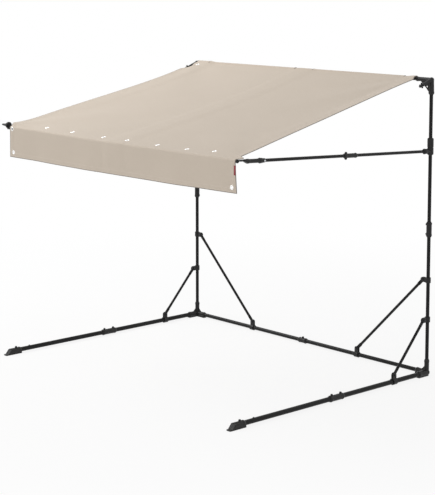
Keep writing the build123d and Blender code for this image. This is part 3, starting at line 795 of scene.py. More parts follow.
@dataclass(frozen=True)
class SideEdge:
    """One free side of the sheet: its line, its sag and the shape of its corners."""

    side: Side
    rear: float
    front: float
    hollow: float
    sag: float
    sag_powers: tuple[float, float]
    mitre: float
    mitre_run: float
    lift: float
    notch: float = 0.0
    flap: float = 0.0
    flare: float = 0.0
    notch_runs: tuple[float, float, float] = (0.02, 0.06, 0.10)
    flap_runs: tuple[float, float, float] = (0.976, 0.990, 1.0)
    lift_runs: tuple[float, float] = (0.84, 0.985)
    lift_reach: float = 0.11
    lift_power: int = 3
    crease_lift: float = 0.0
    crease_reach: float = 0.5
    crease_power: int = 6

    def across(self, run: float, hang: float = 0.0) -> float:
        """Place across of the edge.

        Args:
            run: The share of the way down the slope.
            hang: The share of the way down the valance.

        Returns:
            The place across, from the frame's middle.
        """
        line = self.rear + (self.front - self.rear) * run
        hollow = self.hollow * run * (1.0 - run) ** 2 / HOLLOW_PEAK
        mitre = self.mitre * ease(self.mitre_run, 0.0, run)
        notch = self.notch * bump(*self.notch_runs, run)
        flap = self.flap * bump(*self.flap_runs, run)
        return self.side.value * (line - hollow - mitre - notch + flap + self.flare * hang)

    def sagged(self, run: float) -> float:
        """How far the edge hangs below a straight line.

        Args:
            run: The share of the way down the slope.

        Returns:
            The drop.
        """
        rear, front = self.sag_powers
        deepest = rear / (rear + front)
        peak = deepest**rear * (1.0 - deepest) ** front
        return self.sag * run**rear * (1.0 - run) ** front / peak

    def raised(self, across: float, run: float) -> float:
        """How far the front corner is held up off the straight slope.

        Args:
            across: The place across, from the frame's middle.
            run: The share of the way down the slope.

        Returns:
            The height, along the cloth's normal.
        """
        inset = abs(self.across(run) - across)
        start, highest = self.lift_runs
        share = min(1.0, max(0.0, (run - start) / (highest - start)))
        rise = share**self.lift_power * ease(1.0, highest, run)
        corner = self.lift * rise * math.exp(-((inset / self.lift_reach) ** 2))
        crease = self.crease_lift * run**self.crease_power
        return corner + crease * math.exp(-((inset / self.crease_reach) ** 2))


LEFT_EDGE = SideEdge(
    side=Side.LEFT,
    rear=0.931,
    front=0.918,
    hollow=0.0,
    sag=0.019,
    sag_powers=(0.6, 2.5),
    mitre=0.023,
    mitre_run=0.09,
    notch=0.034,
    lift=0.015,
    crease_lift=0.010,
)
RIGHT_EDGE = SideEdge(
    side=Side.RIGHT,
    rear=0.858,
    front=0.911,
    hollow=0.030,
    sag=0.009,
    sag_powers=(1.0, 2.0),
    mitre=0.035,
    mitre_run=0.05,
    lift=0.004,
    flap=0.036,
    flare=0.009,
    lift_reach=0.05,
)


@dataclass
class SheetGrid:
    """Rows of points that become one sheet with its flat pattern, hems and thickness."""

    hem: float = 0.0275
    hem_step: float = 0.001
    thickness: float = 0.0026
    body_share: float = 0.8
    points: list[Vector] = field(default_factory=list)
    flat: list[tuple[float, float]] = field(default_factory=list)
    insets: list[float] = field(default_factory=list)
    width: int = 0

    def add_row(self, points: Sequence[Vector], places: Sequence[float], along: float) -> None:
        """Adds one row across the sheet.

        Args:
            points: The row's points, from left to right.
            places: The points' places across.
            along: The row's place along the flat pattern.
        """
        self.width = len(points)
        self.points += points
        self.flat += [(place, along) for place in places]
        self.insets += [min(place - places[0], places[-1] - place) for place in places]

    def build(self, name: str) -> tuple[bpy.types.Object, float]:
        """Builds the sheet.

        Args:
            name: The sheet's name.

        Returns:
            The sheet and the area of one of its two sides.
        """
        length = self.flat[-1][1]
        gaps = [
            (inset, min(along, length - along))
            for inset, (_, along) in zip(self.insets, self.flat)
        ]
        starts = range(0, len(self.points) - self.width, self.width)
        corners = [start + column for start in starts for column in range(self.width - 1)]
        below = self.width
        faces = [(first, first + below, first + below + 1, first + 1) for first in corners]
        mesh = bpy.data.meshes.new(name)
        mesh.from_pydata(self.points, [], faces)
        area = sum(face.area for face in mesh.polygons)
        for map_name, values in ((FLAT_MAP, self.flat), (GAP_MAP, gaps)):
            layer = mesh.uv_layers.new(name=map_name)
            for loop in mesh.loops:
                layer.data[loop.index].uv = values[loop.vertex_index]
        sheet = bpy.data.objects.new(name, mesh)
        bpy.context.scene.collection.objects.link(sheet)
        doubled = sheet.vertex_groups.new(name="hems")
        for index, pair in enumerate(gaps):
            in_hem = min(pair) < self.hem - self.hem_step / 2
            doubled.add([index], 1.0 if in_hem else self.body_share, "REPLACE")
        apply_modifier(sheet, "SOLIDIFY", thickness=self.thickness, offset=0.0, vertex_group="hems")
        return sheet, area


@dataclass(frozen=True)
class Wave:
    """A sine wave over the sheet, by the place across and the share of the way down."""

    across: float
    run: float
    phase: float
    height: float = 1.0

    def at(self, across: float, run: float) -> float:
        """The wave's height at one place."""
        return self.height * math.sin(self.across * across + self.run * run + self.phase)


@dataclass(frozen=True)
class Fan:
    """Soft folds that fan out from the rear or front corner of one side."""

    side: Side
    corner: float
    phase: float
    count: float


SWELLS = (Wave(5.1, 2.3, 0.4), Wave(-1.7, 3.9, 0.0))
RIPPLES = (Wave(8.2, 0.0, 0.9), Wave(19.0, 0.0, 2.1, 0.43))
FANS = (
    Fan(Side.LEFT, 0.0, 0.3, 7.0),
    Fan(Side.RIGHT, 0.0, 1.1, 9.0),
    Fan(Side.LEFT, 1.0, 2.0, 8.0),
    Fan(Side.RIGHT, 1.0, 0.6, 7.0),
)
# Brings x exp(-x^2) to a height of about 1 at its peak
FAN_GAIN = 2.33


@dataclass
class CanopyCloth:
    """One sheet: over the top bar, down the slope, over the front bar and down in a valance."""

    top: BarSeat
    front: BarSeat
    middle_x: float
    left: SideEdge = LEFT_EDGE
    right: SideEdge = RIGHT_EDGE
    valance: float = 0.150
    valance_bow: float = 0.005
    valance_lean: float = 0.002
    swing_power: float = 1.3
    clearance: float = 0.0018
    hem: float = SheetGrid.hem
    hem_step: float = SheetGrid.hem_step
    thickness: float = SheetGrid.thickness
    middle_sag: float = 0.014
    fold_height: float = 0.0022
    fold_reach: float = 0.55
    fan_length: float = 1.4
    swell_share: float = 0.9
    calm: float = 0.07
    ripple: float = 0.0035
    columns: int = 150
    rear_rows: int = 9
    slope_rows: int = 96
    crease_rows: int = 10
    valance_rows: int = 14
    crowding: float = 0.6
    area: float = field(default=0.0, init=False)
    length: float = field(default=0.0, init=False)

    def sag(self, share: float, run: float) -> float:
        """How far the slope hangs below a straight line.

        Args:
            share: The place across, from 0 at the left edge to 1 at the right.
            run: The share of the way down the slope.

        Returns:
            The drop.
        """
        edges = self.left.sagged(run) * (1.0 - share) + self.right.sagged(run) * share
        return edges + self.middle_sag * math.sin(math.pi * share) * math.sin(math.pi * run)

    def folds(self, across: float, run: float) -> float:
        """Height of the soft folds that fan out from the corners and of the broad swells.

        Args:
            across: The place across, from the frame's middle.
            run: The share of the way down the slope.

        Returns:
            The height, along the cloth's normal.
        """
        fold = 0.0
        for fan in FANS:
            edge = self.left if fan.side is Side.LEFT else self.right
            sideways = across - edge.across(fan.corner)
            along = (run - fan.corner) * self.fan_length
            distance = math.hypot(sideways, along) / self.fold_reach
            turn = fan.count * math.atan2(along, sideways) + fan.phase
            fold += FAN_GAIN * distance * math.exp(-(distance**2)) * math.sin(turn)
        swell = math.prod(wave.at(across, run) for wave in SWELLS)
        still = ease(0.0, self.calm, run) * ease(1.0, 1.0 - self.calm, run)
        return self.fold_height * (fold + self.swell_share * swell) * still

    def shares(self, stretch: Stretch, amount: float) -> tuple[float, float]:
        """How far down the slope and down the valance a row lies, each from 0 to 1."""
        run = {Stretch.REAR: 0.0, Stretch.SLOPE: amount}.get(stretch, 1.0)
        return run, amount / self.valance if stretch is Stretch.VALANCE else 0.0

    def rows(self) -> list[tuple[Stretch, float]]:
        """Lists the sheet's rows from the rear edge to the valance's bottom.

        Returns:
            Each row's stretch and its place along that stretch.
        """
        hem_start = self.valance - self.hem
        shares = even(self.slope_rows)[1:-1]
        turn = 2.0 * math.pi
        crowded = [share - self.crowding * math.sin(turn * share) / turn for share in shares]
        rows = [(Stretch.REAR, share) for share in even(self.rear_rows)]
        rows += [(Stretch.SLOPE, run) for run in crowded]
        rows += [(Stretch.FRONT, share) for share in even(self.crease_rows)]
        rows += [(Stretch.VALANCE, hem_start * share) for share in even(self.valance_rows)[1:]]
        hem_rows = (hem_start + self.hem_step, self.valance - self.hem / 2, self.valance)
        return rows + [(Stretch.VALANCE, drop) for drop in hem_rows]

    def point(self, stretch: Stretch, amount: float, across: float) -> Vector:
        """One point of the sheet's middle surface.

        Args:
            stretch: The stretch of the sheet.
            amount: The place along that stretch.
            across: The place across, from the frame's middle.

        Returns:
            The point.
        """
        rear_radius = self.top.reach(across) + self.clearance
        front_radius = self.front.reach(across) + self.clearance
        rear = Vector((self.top.y, self.top.z))
        front = Vector((self.front.y, self.front.z))
        slope = front - rear
        lean = math.asin((rear_radius - front_radius) / slope.length)
        turn = math.atan2(-slope.y, -slope.x) + math.pi / 2 + lean
        normal = Vector((math.cos(turn), math.sin(turn)))
        run, hang = self.shares(stretch, amount)
        raised = normal * (self.left.raised(across, run) + self.right.raised(across, run))
        if stretch is Stretch.REAR:
            place = rear + Vector((math.cos(turn * amount), math.sin(turn * amount))) * rear_radius
        elif stretch is Stretch.SLOPE:
            start, end = rear + normal * rear_radius, front + normal * front_radius
            left, right = self.left.across(run), self.right.across(run)
            lift = self.folds(across, run) - self.sag((across - left) / (right - left), run)
            place = start.lerp(end, run) + normal * lift + raised
        elif stretch is Stretch.FRONT:
            angle = turn + (math.pi - turn) * amount
            place = front + Vector((math.cos(angle), math.sin(angle))) * front_radius + raised
        else:
            ripple = self.ripple * sum(wave.at(across, 0.0) for wave in RIPPLES)
            width = self.left.front + self.right.front
            bow = self.valance_bow * math.cos(math.pi * across / width) * hang
            swing = (ripple - self.valance_lean) * hang**self.swing_power
            drop = Vector((-front_radius + swing, -amount - bow))
            place = front + drop + raised * (1.0 - hang)
        return Vector((self.middle_x + across, place.x, place.y))

    def columns_at(self, stretch: Stretch, amount: float) -> list[float]:
        """Places across of one row's points, close together at the hems' steps.

        Args:
            stretch: The stretch of the sheet.
            amount: The row's place along that stretch.

        Returns:
            The places, from left to right.
        """
        shares = self.shares(stretch, amount)
        left, right = self.left.across(*shares), self.right.across(*shares)
        inner_left, inner_right = left + self.hem, right - self.hem
        inner = [inner_left + (inner_right - inner_left) * share for share in even(self.columns)]
        left_hem = [left, left + self.hem / 2, inner_left - self.hem_step]
        right_hem = [inner_right + self.hem_step, right - self.hem / 2, right]
        return left_hem + inner + right_hem

    def build(self) -> bpy.types.Object:
        """Builds the sheet with its thickness, hems and flat pattern.

        Returns:
            The sheet, not yet pierced.
        """
        grid = SheetGrid()
        last = None
        for stretch, amount in self.rows():
            places = self.columns_at(stretch, amount)
            middle = self.point(stretch, amount, 0.0)
            self.length += (middle - last).length if last is not None else 0.0
            last = middle
            points = [self.point(stretch, amount, across) for across in places]
            grid.add_row(points, places, self.length)
        sheet, self.area = grid.build("canopy_sheet")
        return sheet


@dataclass
class RearPockets:
    """Two bands sewn along the cloth's rear hem that hold it round the top bar."""

    cloth: CanopyCloth
    spans: dict[Side, Span] = field(
        default_factory=lambda: {Side.LEFT: (-0.800, -0.070), Side.RIGHT: (0.070, 0.745)}
    )
    overlap: float = math.radians(58.0)
    seam_run: float = 0.045
    hem: float = 0.012
    columns: int = 40
    turn_rows: int = 18
    seam_rows: int = 6

    def section(self, across: float) -> list[Vector]:
        """The band's line round the bar at one place along it.

        Args:
            across: The place across, from the frame's middle.

        Returns:
            The line's points, from the outside of the rear hem to the seam under the slope.
        """
        top, layer = self.cloth.top, self.cloth.thickness + self.cloth.clearance
        radius = top.reach(across) + layer
        under = Vector((0.0, 0.0, self.cloth.thickness))
        seam = self.cloth.point(Stretch.SLOPE, self.seam_run, across) - under
        offset = Vector((seam.y - top.y, seam.z - top.z))
        leaving = math.atan2(offset.y, offset.x) + math.acos(radius / offset.length) - 2.0 * math.pi
        swept = leaving - self.overlap
        turns = [self.overlap + swept * share for share in even(self.turn_rows)]
        line = [
            Vector((seam.x, top.y + radius * math.cos(turn), top.z + radius * math.sin(turn)))
            for turn in turns
        ]
        return line + [line[-1].lerp(seam, share) for share in even(self.seam_rows)[1:]]

    def build(self, material: bpy.types.Material) -> list[bpy.types.Object]:
        """Builds both bands.

        Args:
            material: The cloth's material.

        Returns:
            The bands.
        """
        bands = []
        for side, (start, end) in self.spans.items():
            grid = SheetGrid(hem=self.hem)
            places = [start + (end - start) * share for share in even(self.columns)]
            lines = [self.section(across) for across in places]
            along = 0.0
            for index, row in enumerate(zip(*lines)):
                along += (row[0] - lines[0][index - 1]).length if index else 0.0
                grid.add_row(row, places, along)
            band, _ = grid.build(f"{side.word}_rear_pocket")
            smooth_by_angle(band, CLOTH_ANGLE)
            bands.append(hand_over(band, material))
        return bands


@dataclass
class Eyelets:
    """Metal rings that line the holes along the front crease and at the corners."""

    cloth: CanopyCloth
    hole: float = 0.0078
    ring: float = 0.0090
    ring_width: float = 0.0032
    ring_height: float = 0.0021
    ring_steps: int = 32
    section_sides: int = 14
    punch_depth: float = 0.02
    run_step: float = 0.004
    drop_step: float = 0.002
    side_step: float = 0.01
    crisp_angle: float = 60.0
    row_places: tuple[tuple[float, float], ...] = (
        (-0.651, 0.052),
        (-0.417, 0.049),
        (-0.149, 0.048),
        (0.053, 0.042),
        (0.290, 0.044),
        (0.512, 0.044),
        (0.691, 0.062),
    )
    corner_places: dict[str, tuple[Stretch, float, float]] = field(
        default_factory=lambda: {
            "eyelet_rear_left": (Stretch.SLOPE, 0.034, -0.862),
            "eyelet_valance_top_left": (Stretch.VALANCE, 0.004, -0.898),
            "eyelet_valance_left": (Stretch.VALANCE, 0.124, -0.886),
            "eyelet_valance_right": (Stretch.VALANCE, 0.124, 0.886),
        }
    )

    def places(self) -> dict[str, Matrix]:
        """Where each eyelet sits on the cloth.

        Returns:
            Each eyelet's name and its place, with Z along the cloth's normal.
        """
        top, front = self.cloth.top, self.cloth.front
        slope = Vector((front.y - top.y, front.z - top.z)).length
        spots = {
            f"eyelet_row_{index}": (Stretch.SLOPE, 1.0 - setback / slope, across)
            for index, (across, setback) in enumerate(self.row_places, 1)
        }
        spots.update(self.corner_places)
        return {name: self.on_cloth(*spot) for name, spot in spots.items()}

    def on_cloth(self, stretch: Stretch, amount: float, across: float) -> Matrix:
        """The cloth's own place and normal at a spot.

        Args:
            stretch: The stretch of the sheet.
            amount: The place along that stretch.
            across: The place across, from the frame's middle.

        Returns:
            The place, with Z along the normal.
        """
        step = self.run_step if stretch is Stretch.SLOPE else self.drop_step
        centre = self.cloth.point(stretch, amount, across)
        ahead = self.cloth.point(stretch, amount + step, across) - centre
        beside = self.cloth.point(stretch, amount, across + self.side_step) - centre
        return facing(centre, ahead.cross(beside).normalized())

    def build_ring(self) -> bpy.types.Object:
        """Spins one rolled ring from an oval section.

        Returns:
            The ring at the origin.
        """
        clear_bench()
        bpy.ops.mesh.primitive_circle_add(vertices=self.section_sides, radius=1.0, location=ORIGIN)
        ring = bpy.context.object
        bpy.ops.object.mode_set(mode="EDIT")
        bpy.ops.mesh.select_all(action="SELECT")
        bpy.ops.transform.rotate(value=math.pi / 2, orient_axis="X", center_override=ORIGIN)
        section = (self.ring_width, 1.0, self.ring_height)
        bpy.ops.transform.resize(value=section, center_override=ORIGIN)
        bpy.ops.transform.translate(value=(self.ring, 0.0, 0.0))
        bpy.ops.mesh.spin(
            steps=self.ring_steps, angle=2.0 * math.pi, center=ORIGIN, axis=(0.0, 0.0, 1.0)
        )
        close_and_turn_out(ring)
        smooth_by_angle(ring, self.crisp_angle)
        return ring

    def pierce(self, sheet: bpy.types.Object, places: Iterable[Matrix]) -> None:
        """Cuts the eyelets' holes through the sheet.

        Args:
            sheet: The cloth.
            places: The eyelets' places.
        """
        clear_bench()
        bpy.ops.mesh.primitive_cylinder_add(
            vertices=self.ring_steps, radius=self.hole, depth=self.punch_depth, location=ORIGIN
        )
        punch = bpy.context.object
        punches = [copy_to(punch, f"punch_{index}", place) for index, place in enumerate(places)]
        put_away(punch)
        tool = join_pieces(punches, "punches")
        apply_modifier(sheet, "BOOLEAN", operation="DIFFERENCE", object=tool, solver="EXACT")
        put_away(tool)

    def build(
        self, sheet: bpy.types.Object, material: bpy.types.Material
    ) -> list[bpy.types.Object]:
        """Pierces the sheet and sets a ring in each hole.

        Args:
            sheet: The cloth.
            material: The rings' material.

        Returns:
            The rings.
        """
        places = self.places()
        self.pierce(sheet, places.values())
        pattern = self.build_ring()
        rings = [
            hand_over(copy_to(pattern, name, place), material)
            for name, place in places.items()
        ]
        put_away(pattern)
        return rings


@dataclass
class HemTab:
    """A plain red webbing tab folded round the valance's right hem."""

    cloth: CanopyCloth
    height: float = 0.045
    drop: float = 0.019
    width: float = 0.008
    wall: float = 0.0012
    slack: float = 0.8
    bend: float = 0.003
    easing: float = 0.0003
    crisp_angle: float = 50.0

    def build(self, material: bpy.types.Material) -> bpy.types.Object:
        """Builds the tab as a folded strip.

        Args:
            material: The webbing's material.

        Returns:
            The tab.
        """
        edge = self.cloth.right.across(1.0)
        middle = self.cloth.point(Stretch.VALANCE, self.drop + self.height / 2, edge)
        clear = self.cloth.thickness / 2 + self.wall * self.slack
        clear_bench()
        bpy.ops.mesh.primitive_plane_add(size=1.0, location=ORIGIN)
        tab = bpy.context.object
        tab.name = "valance_tab"
        bpy.ops.object.mode_set(mode="EDIT")
        bpy.ops.mesh.select_all(action="SELECT")
        bpy.ops.transform.resize(value=(self.width, self.height, 1.0), center_override=ORIGIN)
        bpy.ops.transform.rotate(value=-math.pi / 2, orient_axis="X", center_override=ORIGIN)
        bpy.ops.transform.translate(value=middle + Vector((-self.width / 2, -clear, 0.0)))
        bpy.ops.object.mode_set(mode="OBJECT")
        outer = max(vertex.co.x for vertex in tab.data.vertices)
        out, back = Vector((self.bend, clear, 0.0)), Vector((-self.bend, clear, 0.0))
        for turn in (out, back, Vector((-self.width, 0.0, 0.0))):
            self.fold_on(tab, outer, turn)
            outer += turn.x
        apply_modifier(tab, "SOLIDIFY", thickness=self.wall, offset=0.0)
        close_and_turn_out(tab)
        apply_modifier(tab, "BEVEL", width=self.easing, segments=2, limit_method="ANGLE")
        smooth_by_angle(tab, self.crisp_angle)
        return hand_over(tab, material)

    def fold_on(self, tab: bpy.types.Object, outer: float, turn: Vector) -> None:
        """Carries the strip's last edge on by one fold.

        Args:
            tab: The strip.
            outer: Where its last edge is, along X.
            turn: How far the edge is carried.
        """
        take_up(tab)
        spots = [vertex.co for vertex in tab.data.vertices]
        rear = max(spot.y for spot in spots if abs(spot.x - outer) < TOUCHING)
        bpy.ops.object.mode_set(mode="EDIT")
        bpy.ops.mesh.select_mode(type="EDGE")
        bpy.ops.mesh.select_all(action="DESELECT")
        bpy.ops.object.mode_set(mode="OBJECT")
        for edge in tab.data.edges:
            ends = [tab.data.vertices[index].co for index in edge.vertices]
            edge.select = all(
                abs(end.x - outer) < TOUCHING and abs(end.y - rear) < TOUCHING for end in ends
            )
        bpy.ops.object.mode_set(mode="EDIT")
        bpy.ops.mesh.extrude_region_move(TRANSFORM_OT_translate={"value": turn})
        bpy.ops.object.mode_set(mode="OBJECT")


@dataclass
class Screws:
    """Domed socket screws on the splices' bosses, and the bright ones on the front sleeves."""

    arm_rise: float = 2.7
    head: float = 0.0048
    head_height: float = 0.0016
    crown: float = 0.0008
    crown_steps: tuple[Span, ...] = ((0.25, 0.7), (0.25, 0.3))
    socket: float = 0.0016
    socket_depth: float = 0.00128
    sides: int = 24
    crisp_angle: float = 35.0
    boss_flatness: float = 2e-4
    sleeve_screw_setback: float = 0.156
    sleeve_screw_radius: float = 0.0110

    def build_screw(self) -> bpy.types.Object:
        """Models one screw head with a domed top and a socket.

        Returns:
            The head, standing on the origin.
        """
        clear_bench()
        height = self.head_height
        bpy.ops.mesh.primitive_cylinder_add(
            vertices=self.sides, radius=self.head, depth=height, location=(0.0, 0.0, height / 2)
        )
        screw = bpy.context.object
        bpy.ops.object.transform_apply(location=True)
        pick_faces(screw, faces_up)
        flat = self.head
        for inset, rise in self.crown_steps:
            inset_up(self.head * inset, self.crown * rise)
            flat -= self.head * inset
        bpy.ops.mesh.inset(thickness=flat - self.socket)
        extrude_up(-self.socket_depth)
        bpy.ops.object.mode_set(mode="OBJECT")
        smooth_by_angle(screw, self.crisp_angle)
        return screw

    def boss_tops(self, node: str, direction: Vector, along: Vector | None = None) -> list[Vector]:
        """Finds the tops of a node's bosses.

        Args:
            node: The node's name.
            direction: The way that the bosses point.
            along: The splice's axis, where it has two bosses in a row.

        Returns:
            The middle of each boss's top.
        """
        spots = [vertex.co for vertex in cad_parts[node].data.vertices]
        reach = max(spot.dot(direction) for spot in spots)
        tops = [spot for spot in spots if spot.dot(direction) > reach - self.boss_flatness]
        if along is None:
            return [middle_of(tops)]
        half = sum(spot.dot(along) for spot in tops) / len(tops)
        ends = (
            [spot for spot in tops if (spot.dot(along) > half) is above] for above in (False, True)
        )
        return [middle_of(end) for end in ends]

    def boss_places(self) -> Places:
        """Where the boss screws go.

        Returns:
            Each screw's name, its place and the way it points.
        """
        up, down = Vector((0.0, 0.0, 1.0)), Vector((0.0, 0.0, -1.0))
        back = Vector((0.0, 1.0, 0.0))
        tilt = math.radians(self.arm_rise)
        arm_up = Vector((0.0, math.sin(tilt), math.cos(tilt)))
        bosses = {
            "rear_floor_splice": (up, None),
            "top_bar_splice": (down, None),
            "front_bar_splice": (down, None),
        }
        for side in Side:
            inward = Vector((-side.value, 0.0, 0.0))
            bosses[f"{side.word}_post_splice"] = (inward, up)
            bosses[f"{side.word}_rail_splice"] = (up, back)
            bosses[f"{side.word}_foot"] = (up, None)
            bosses[f"{side.word}_arm_splice"] = (arm_up, None)
            bosses[f"{side.word}_arm_splice_under"] = (-arm_up, None)
        found = {}
        for name, (direction, along) in bosses.items():
            tops = self.boss_tops(name.removesuffix("_under"), direction, along)
            for index, top in enumerate(tops):
                found[f"{name}_screw_{index + 1}"] = (top, direction)
        return found

    def sleeve_places(self, front: BarSeat, post_x: dict[Side, float]) -> Places:
        """Where the bright screws on the front sleeves go.

        Args:
            front: The front bar's line.
            post_x: Each side's place along X.

        Returns:
            Each screw's name, its place and the way it points.
        """
        tilt = math.radians(self.arm_rise)
        back = Vector((0.0, math.cos(tilt), -math.sin(tilt))) * self.sleeve_screw_setback
        found = {}
        for side in Side:
            outward = Vector((side.value, 0.0, 0.0))
            tip = Vector((post_x[side], front.y, front.z))
            spot = tip + back + outward * self.sleeve_screw_radius
            found[f"{side.word}_front_sleeve_screw"] = (spot, outward)
        return found

    def build(
        self,
        front: BarSeat,
        post_x: dict[Side, float],
        dark: bpy.types.Material,
        bright: bpy.types.Material,
    ) -> None:
        """Sets all the screws.

        Args:
            front: The front bar's line.
            post_x: Each side's place along X.
            dark: The boss screws' material.
            bright: The sleeve screws' material.
        """
        pattern = self.build_screw()
        sets = ((dark, self.boss_places()), (bright, self.sleeve_places(front, post_x)))
        for material, places in sets:
            for name, (spot, direction) in places.items():
                hand_over(copy_to(pattern, name, facing(spot, direction)), material)
        put_away(pattern)


@dataclass
class SpringButtons:
    """Domed spring buttons that lock the front rail tubes, standing out of their tops."""

    setback: float = 0.165
    radius: float = 0.0042
    height: float = 0.0036
    neck_share: float = 0.6
    crown_steps: tuple[Span, ...] = ((0.22, 0.25), (0.26, 0.11), (0.26, 0.04))
    collar: float = 0.0058
    collar_height: float = 0.0006
    collar_depth: float = 0.0024
    sides: int = 24
    crisp_angle: float = 50.0

    def build_button(self) -> bpy.types.Object:
        """Models one button: a worn collar, a straight neck and a rounded crown.

        Returns:
            The button, standing on the origin.
        """
        clear_bench()
        middle = self.collar_height - self.collar_depth / 2
        bpy.ops.mesh.primitive_cylinder_add(
            vertices=self.sides,
            radius=self.collar,
            depth=self.collar_depth,
            location=(0.0, 0.0, middle),
        )
        button = bpy.context.object
        bpy.ops.object.transform_apply(location=True)
        pick_faces(button, faces_up)
        bpy.ops.mesh.inset(thickness=self.collar - self.radius)
        extrude_up(self.height * self.neck_share)
        for inset, rise in self.crown_steps:
            inset_up(self.radius * inset, self.height * rise)
        bpy.ops.object.mode_set(mode="OBJECT")
        smooth_by_angle(button, self.crisp_angle)
        return button

    def build(self, material: bpy.types.Material) -> None:
        """Sets a button on each front rail tube, behind its foot.

        Args:
            material: The buttons' material.
        """
        pattern = self.build_button()
        for side in Side:
            low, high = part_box(f"{side.word}_rail_front_tube")
            toe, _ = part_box(f"{side.word}_foot")
            place = Matrix.Translation(((low.x + high.x) / 2, toe.y + self.setback, high.z))
            hand_over(copy_to(pattern, f"{side.word}_rail_button", place), material)
        put_away(pattern)


@dataclass
class PivotBolts:
    """Hexagon bolts with washers and nuts through the brace clamps' ears."""

    grip: float = 0.0068
    washer: float = 0.0068
    washer_height: float = 0.0012
    head: float = 0.0056
    head_height: float = 0.0040
    shank: float = 0.0029
    shank_sides: int = 20
    washer_sides: int = 28
    head_sides: int = 6
    tip: float = 0.0030
    easing: Span = (0.14, 0.3)
    crisp_angle: float = 30.0
    brace_end: float = 0.009

    def disc(self, sides: int, radius: float, low: float, high: float) -> bpy.types.Object:
        """Models one washer, head, nut or shank with eased ends.

        Args:
            sides: How many sides it has.
            radius: Its radius, out to its corners.
            low: Where it starts along the bolt.
            high: Where it ends along the bolt.

        Returns:
            The disc.
        """
        clear_bench()
        bpy.ops.mesh.primitive_cylinder_add(
            vertices=sides, radius=radius, depth=high - low, location=(0.0, 0.0, (low + high) / 2)
        )
        disc = bpy.context.object
        bpy.ops.object.transform_apply(location=True)
        pick_faces(disc, lambda face: abs(face.normal.z) > LEVEL)
        by_radius, by_depth = self.easing
        offset = min(radius * by_radius, (high - low) * by_depth)
        bpy.ops.mesh.bevel(offset=offset, segments=2, affect="EDGES")
        bpy.ops.object.mode_set(mode="OBJECT")
        return disc

    def build_bolt(self) -> bpy.types.Object:
        """Models one bolt along Z, centred between the ears.

        Returns:
            The bolt.
        """
        face = self.grip + self.washer_height
        end = face + self.head_height
        parts = [
            self.disc(self.shank_sides, self.shank, -end - self.tip, face + self.tip / 2),
            self.disc(self.washer_sides, self.washer, self.grip, face),
            self.disc(self.washer_sides, self.washer, -face, -self.grip),
            self.disc(self.head_sides, self.head, face, end),
            self.disc(self.head_sides, self.head, -end, -face),
        ]
        bolt = join_pieces(parts, "pivot_bolt")
        smooth_by_angle(bolt, self.crisp_angle)
        return bolt

    def places(self) -> dict[str, Matrix]:
        """Where each bolt goes, read from the braces' own ends.

        Returns:
            Each bolt's name and its place.
        """
        inset = self.brace_end
        found = {}
        for side in Side:
            low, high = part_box(f"{side.word}_rear_brace")
            y = (low.y + high.y) / 2
            post_end, bar_end = low.x + inset, high.x - inset
            if side is Side.RIGHT:
                post_end, bar_end = bar_end, post_end
            ahead, outward = Vector((0.0, -1.0, 0.0)), Vector((side.value, 0.0, 0.0))
            ends = {
                "rear_brace_bolt_high": (Vector((post_end, y, high.z - inset)), ahead),
                "rear_brace_bolt_low": (Vector((bar_end, y, low.z + inset)), ahead),
            }
            low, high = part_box(f"{side.word}_side_brace")
            x = (low.x + high.x) / 2
            ends["side_brace_bolt_high"] = (Vector((x, high.y - inset, high.z - inset)), outward)
            ends["side_brace_bolt_low"] = (Vector((x, low.y + inset, low.z + inset)), outward)
            for name, (spot, direction) in ends.items():
                found[f"{side.word}_{name}"] = facing(spot, direction)
        return found

    def build(self, material: bpy.types.Material) -> None:
        """Sets all the bolts in one material.

        Args:
            material: The bolts' material.
        """
        pattern = self.build_bolt()
        for name, place in self.places().items():
            hand_over(copy_to(pattern, name, place), material)
        put_away(pattern)


@dataclass
class Frame:
    """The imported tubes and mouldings, which keep their shapes and get their finishes."""

    tube_words: tuple[str, ...] = ("_tube", "_bar", "_brace")

    def dress(self, tube: bpy.types.Material, moulding: bpy.types.Material) -> None:
        """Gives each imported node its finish.

        Args:
            tube: The tubes' material.
            moulding: The mouldings' material.
        """
        for name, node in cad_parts.items():
            material = tube if name.endswith(self.tube_words) else moulding
            for place in node.material_slots:
                place.material = material
            LOG.info("%s: %s", name, material.name)


@dataclass(frozen=True)
class Lamp:
    """A square soft lamp: where it hangs, what it points at, its side and its watts."""

    name: str
    place: Point
    aim: Point
    size: float
    power: float

    def hang(self) -> None:
        """Hangs the lamp in the scene."""
        data = bpy.data.lights.new(self.name, "AREA")
        data.size = self.size
        data.energy = self.power
        lamp = bpy.data.objects.new(self.name, data)
        place = Vector(self.place)
        lamp.matrix_world = aimed(place, Vector(self.aim) - place)
        bpy.context.scene.collection.objects.link(lamp)


KEY_LAMP = Lamp("key_lamp", (-3.9, -1.0, 4.2), (-0.1, 0.1, 1.2), 3.2, 141.0)
FILL_LAMP = Lamp("fill_lamp", (1.6, -5.6, 2.6), (0.0, 0.0, 1.1), 2.6, 40.0)


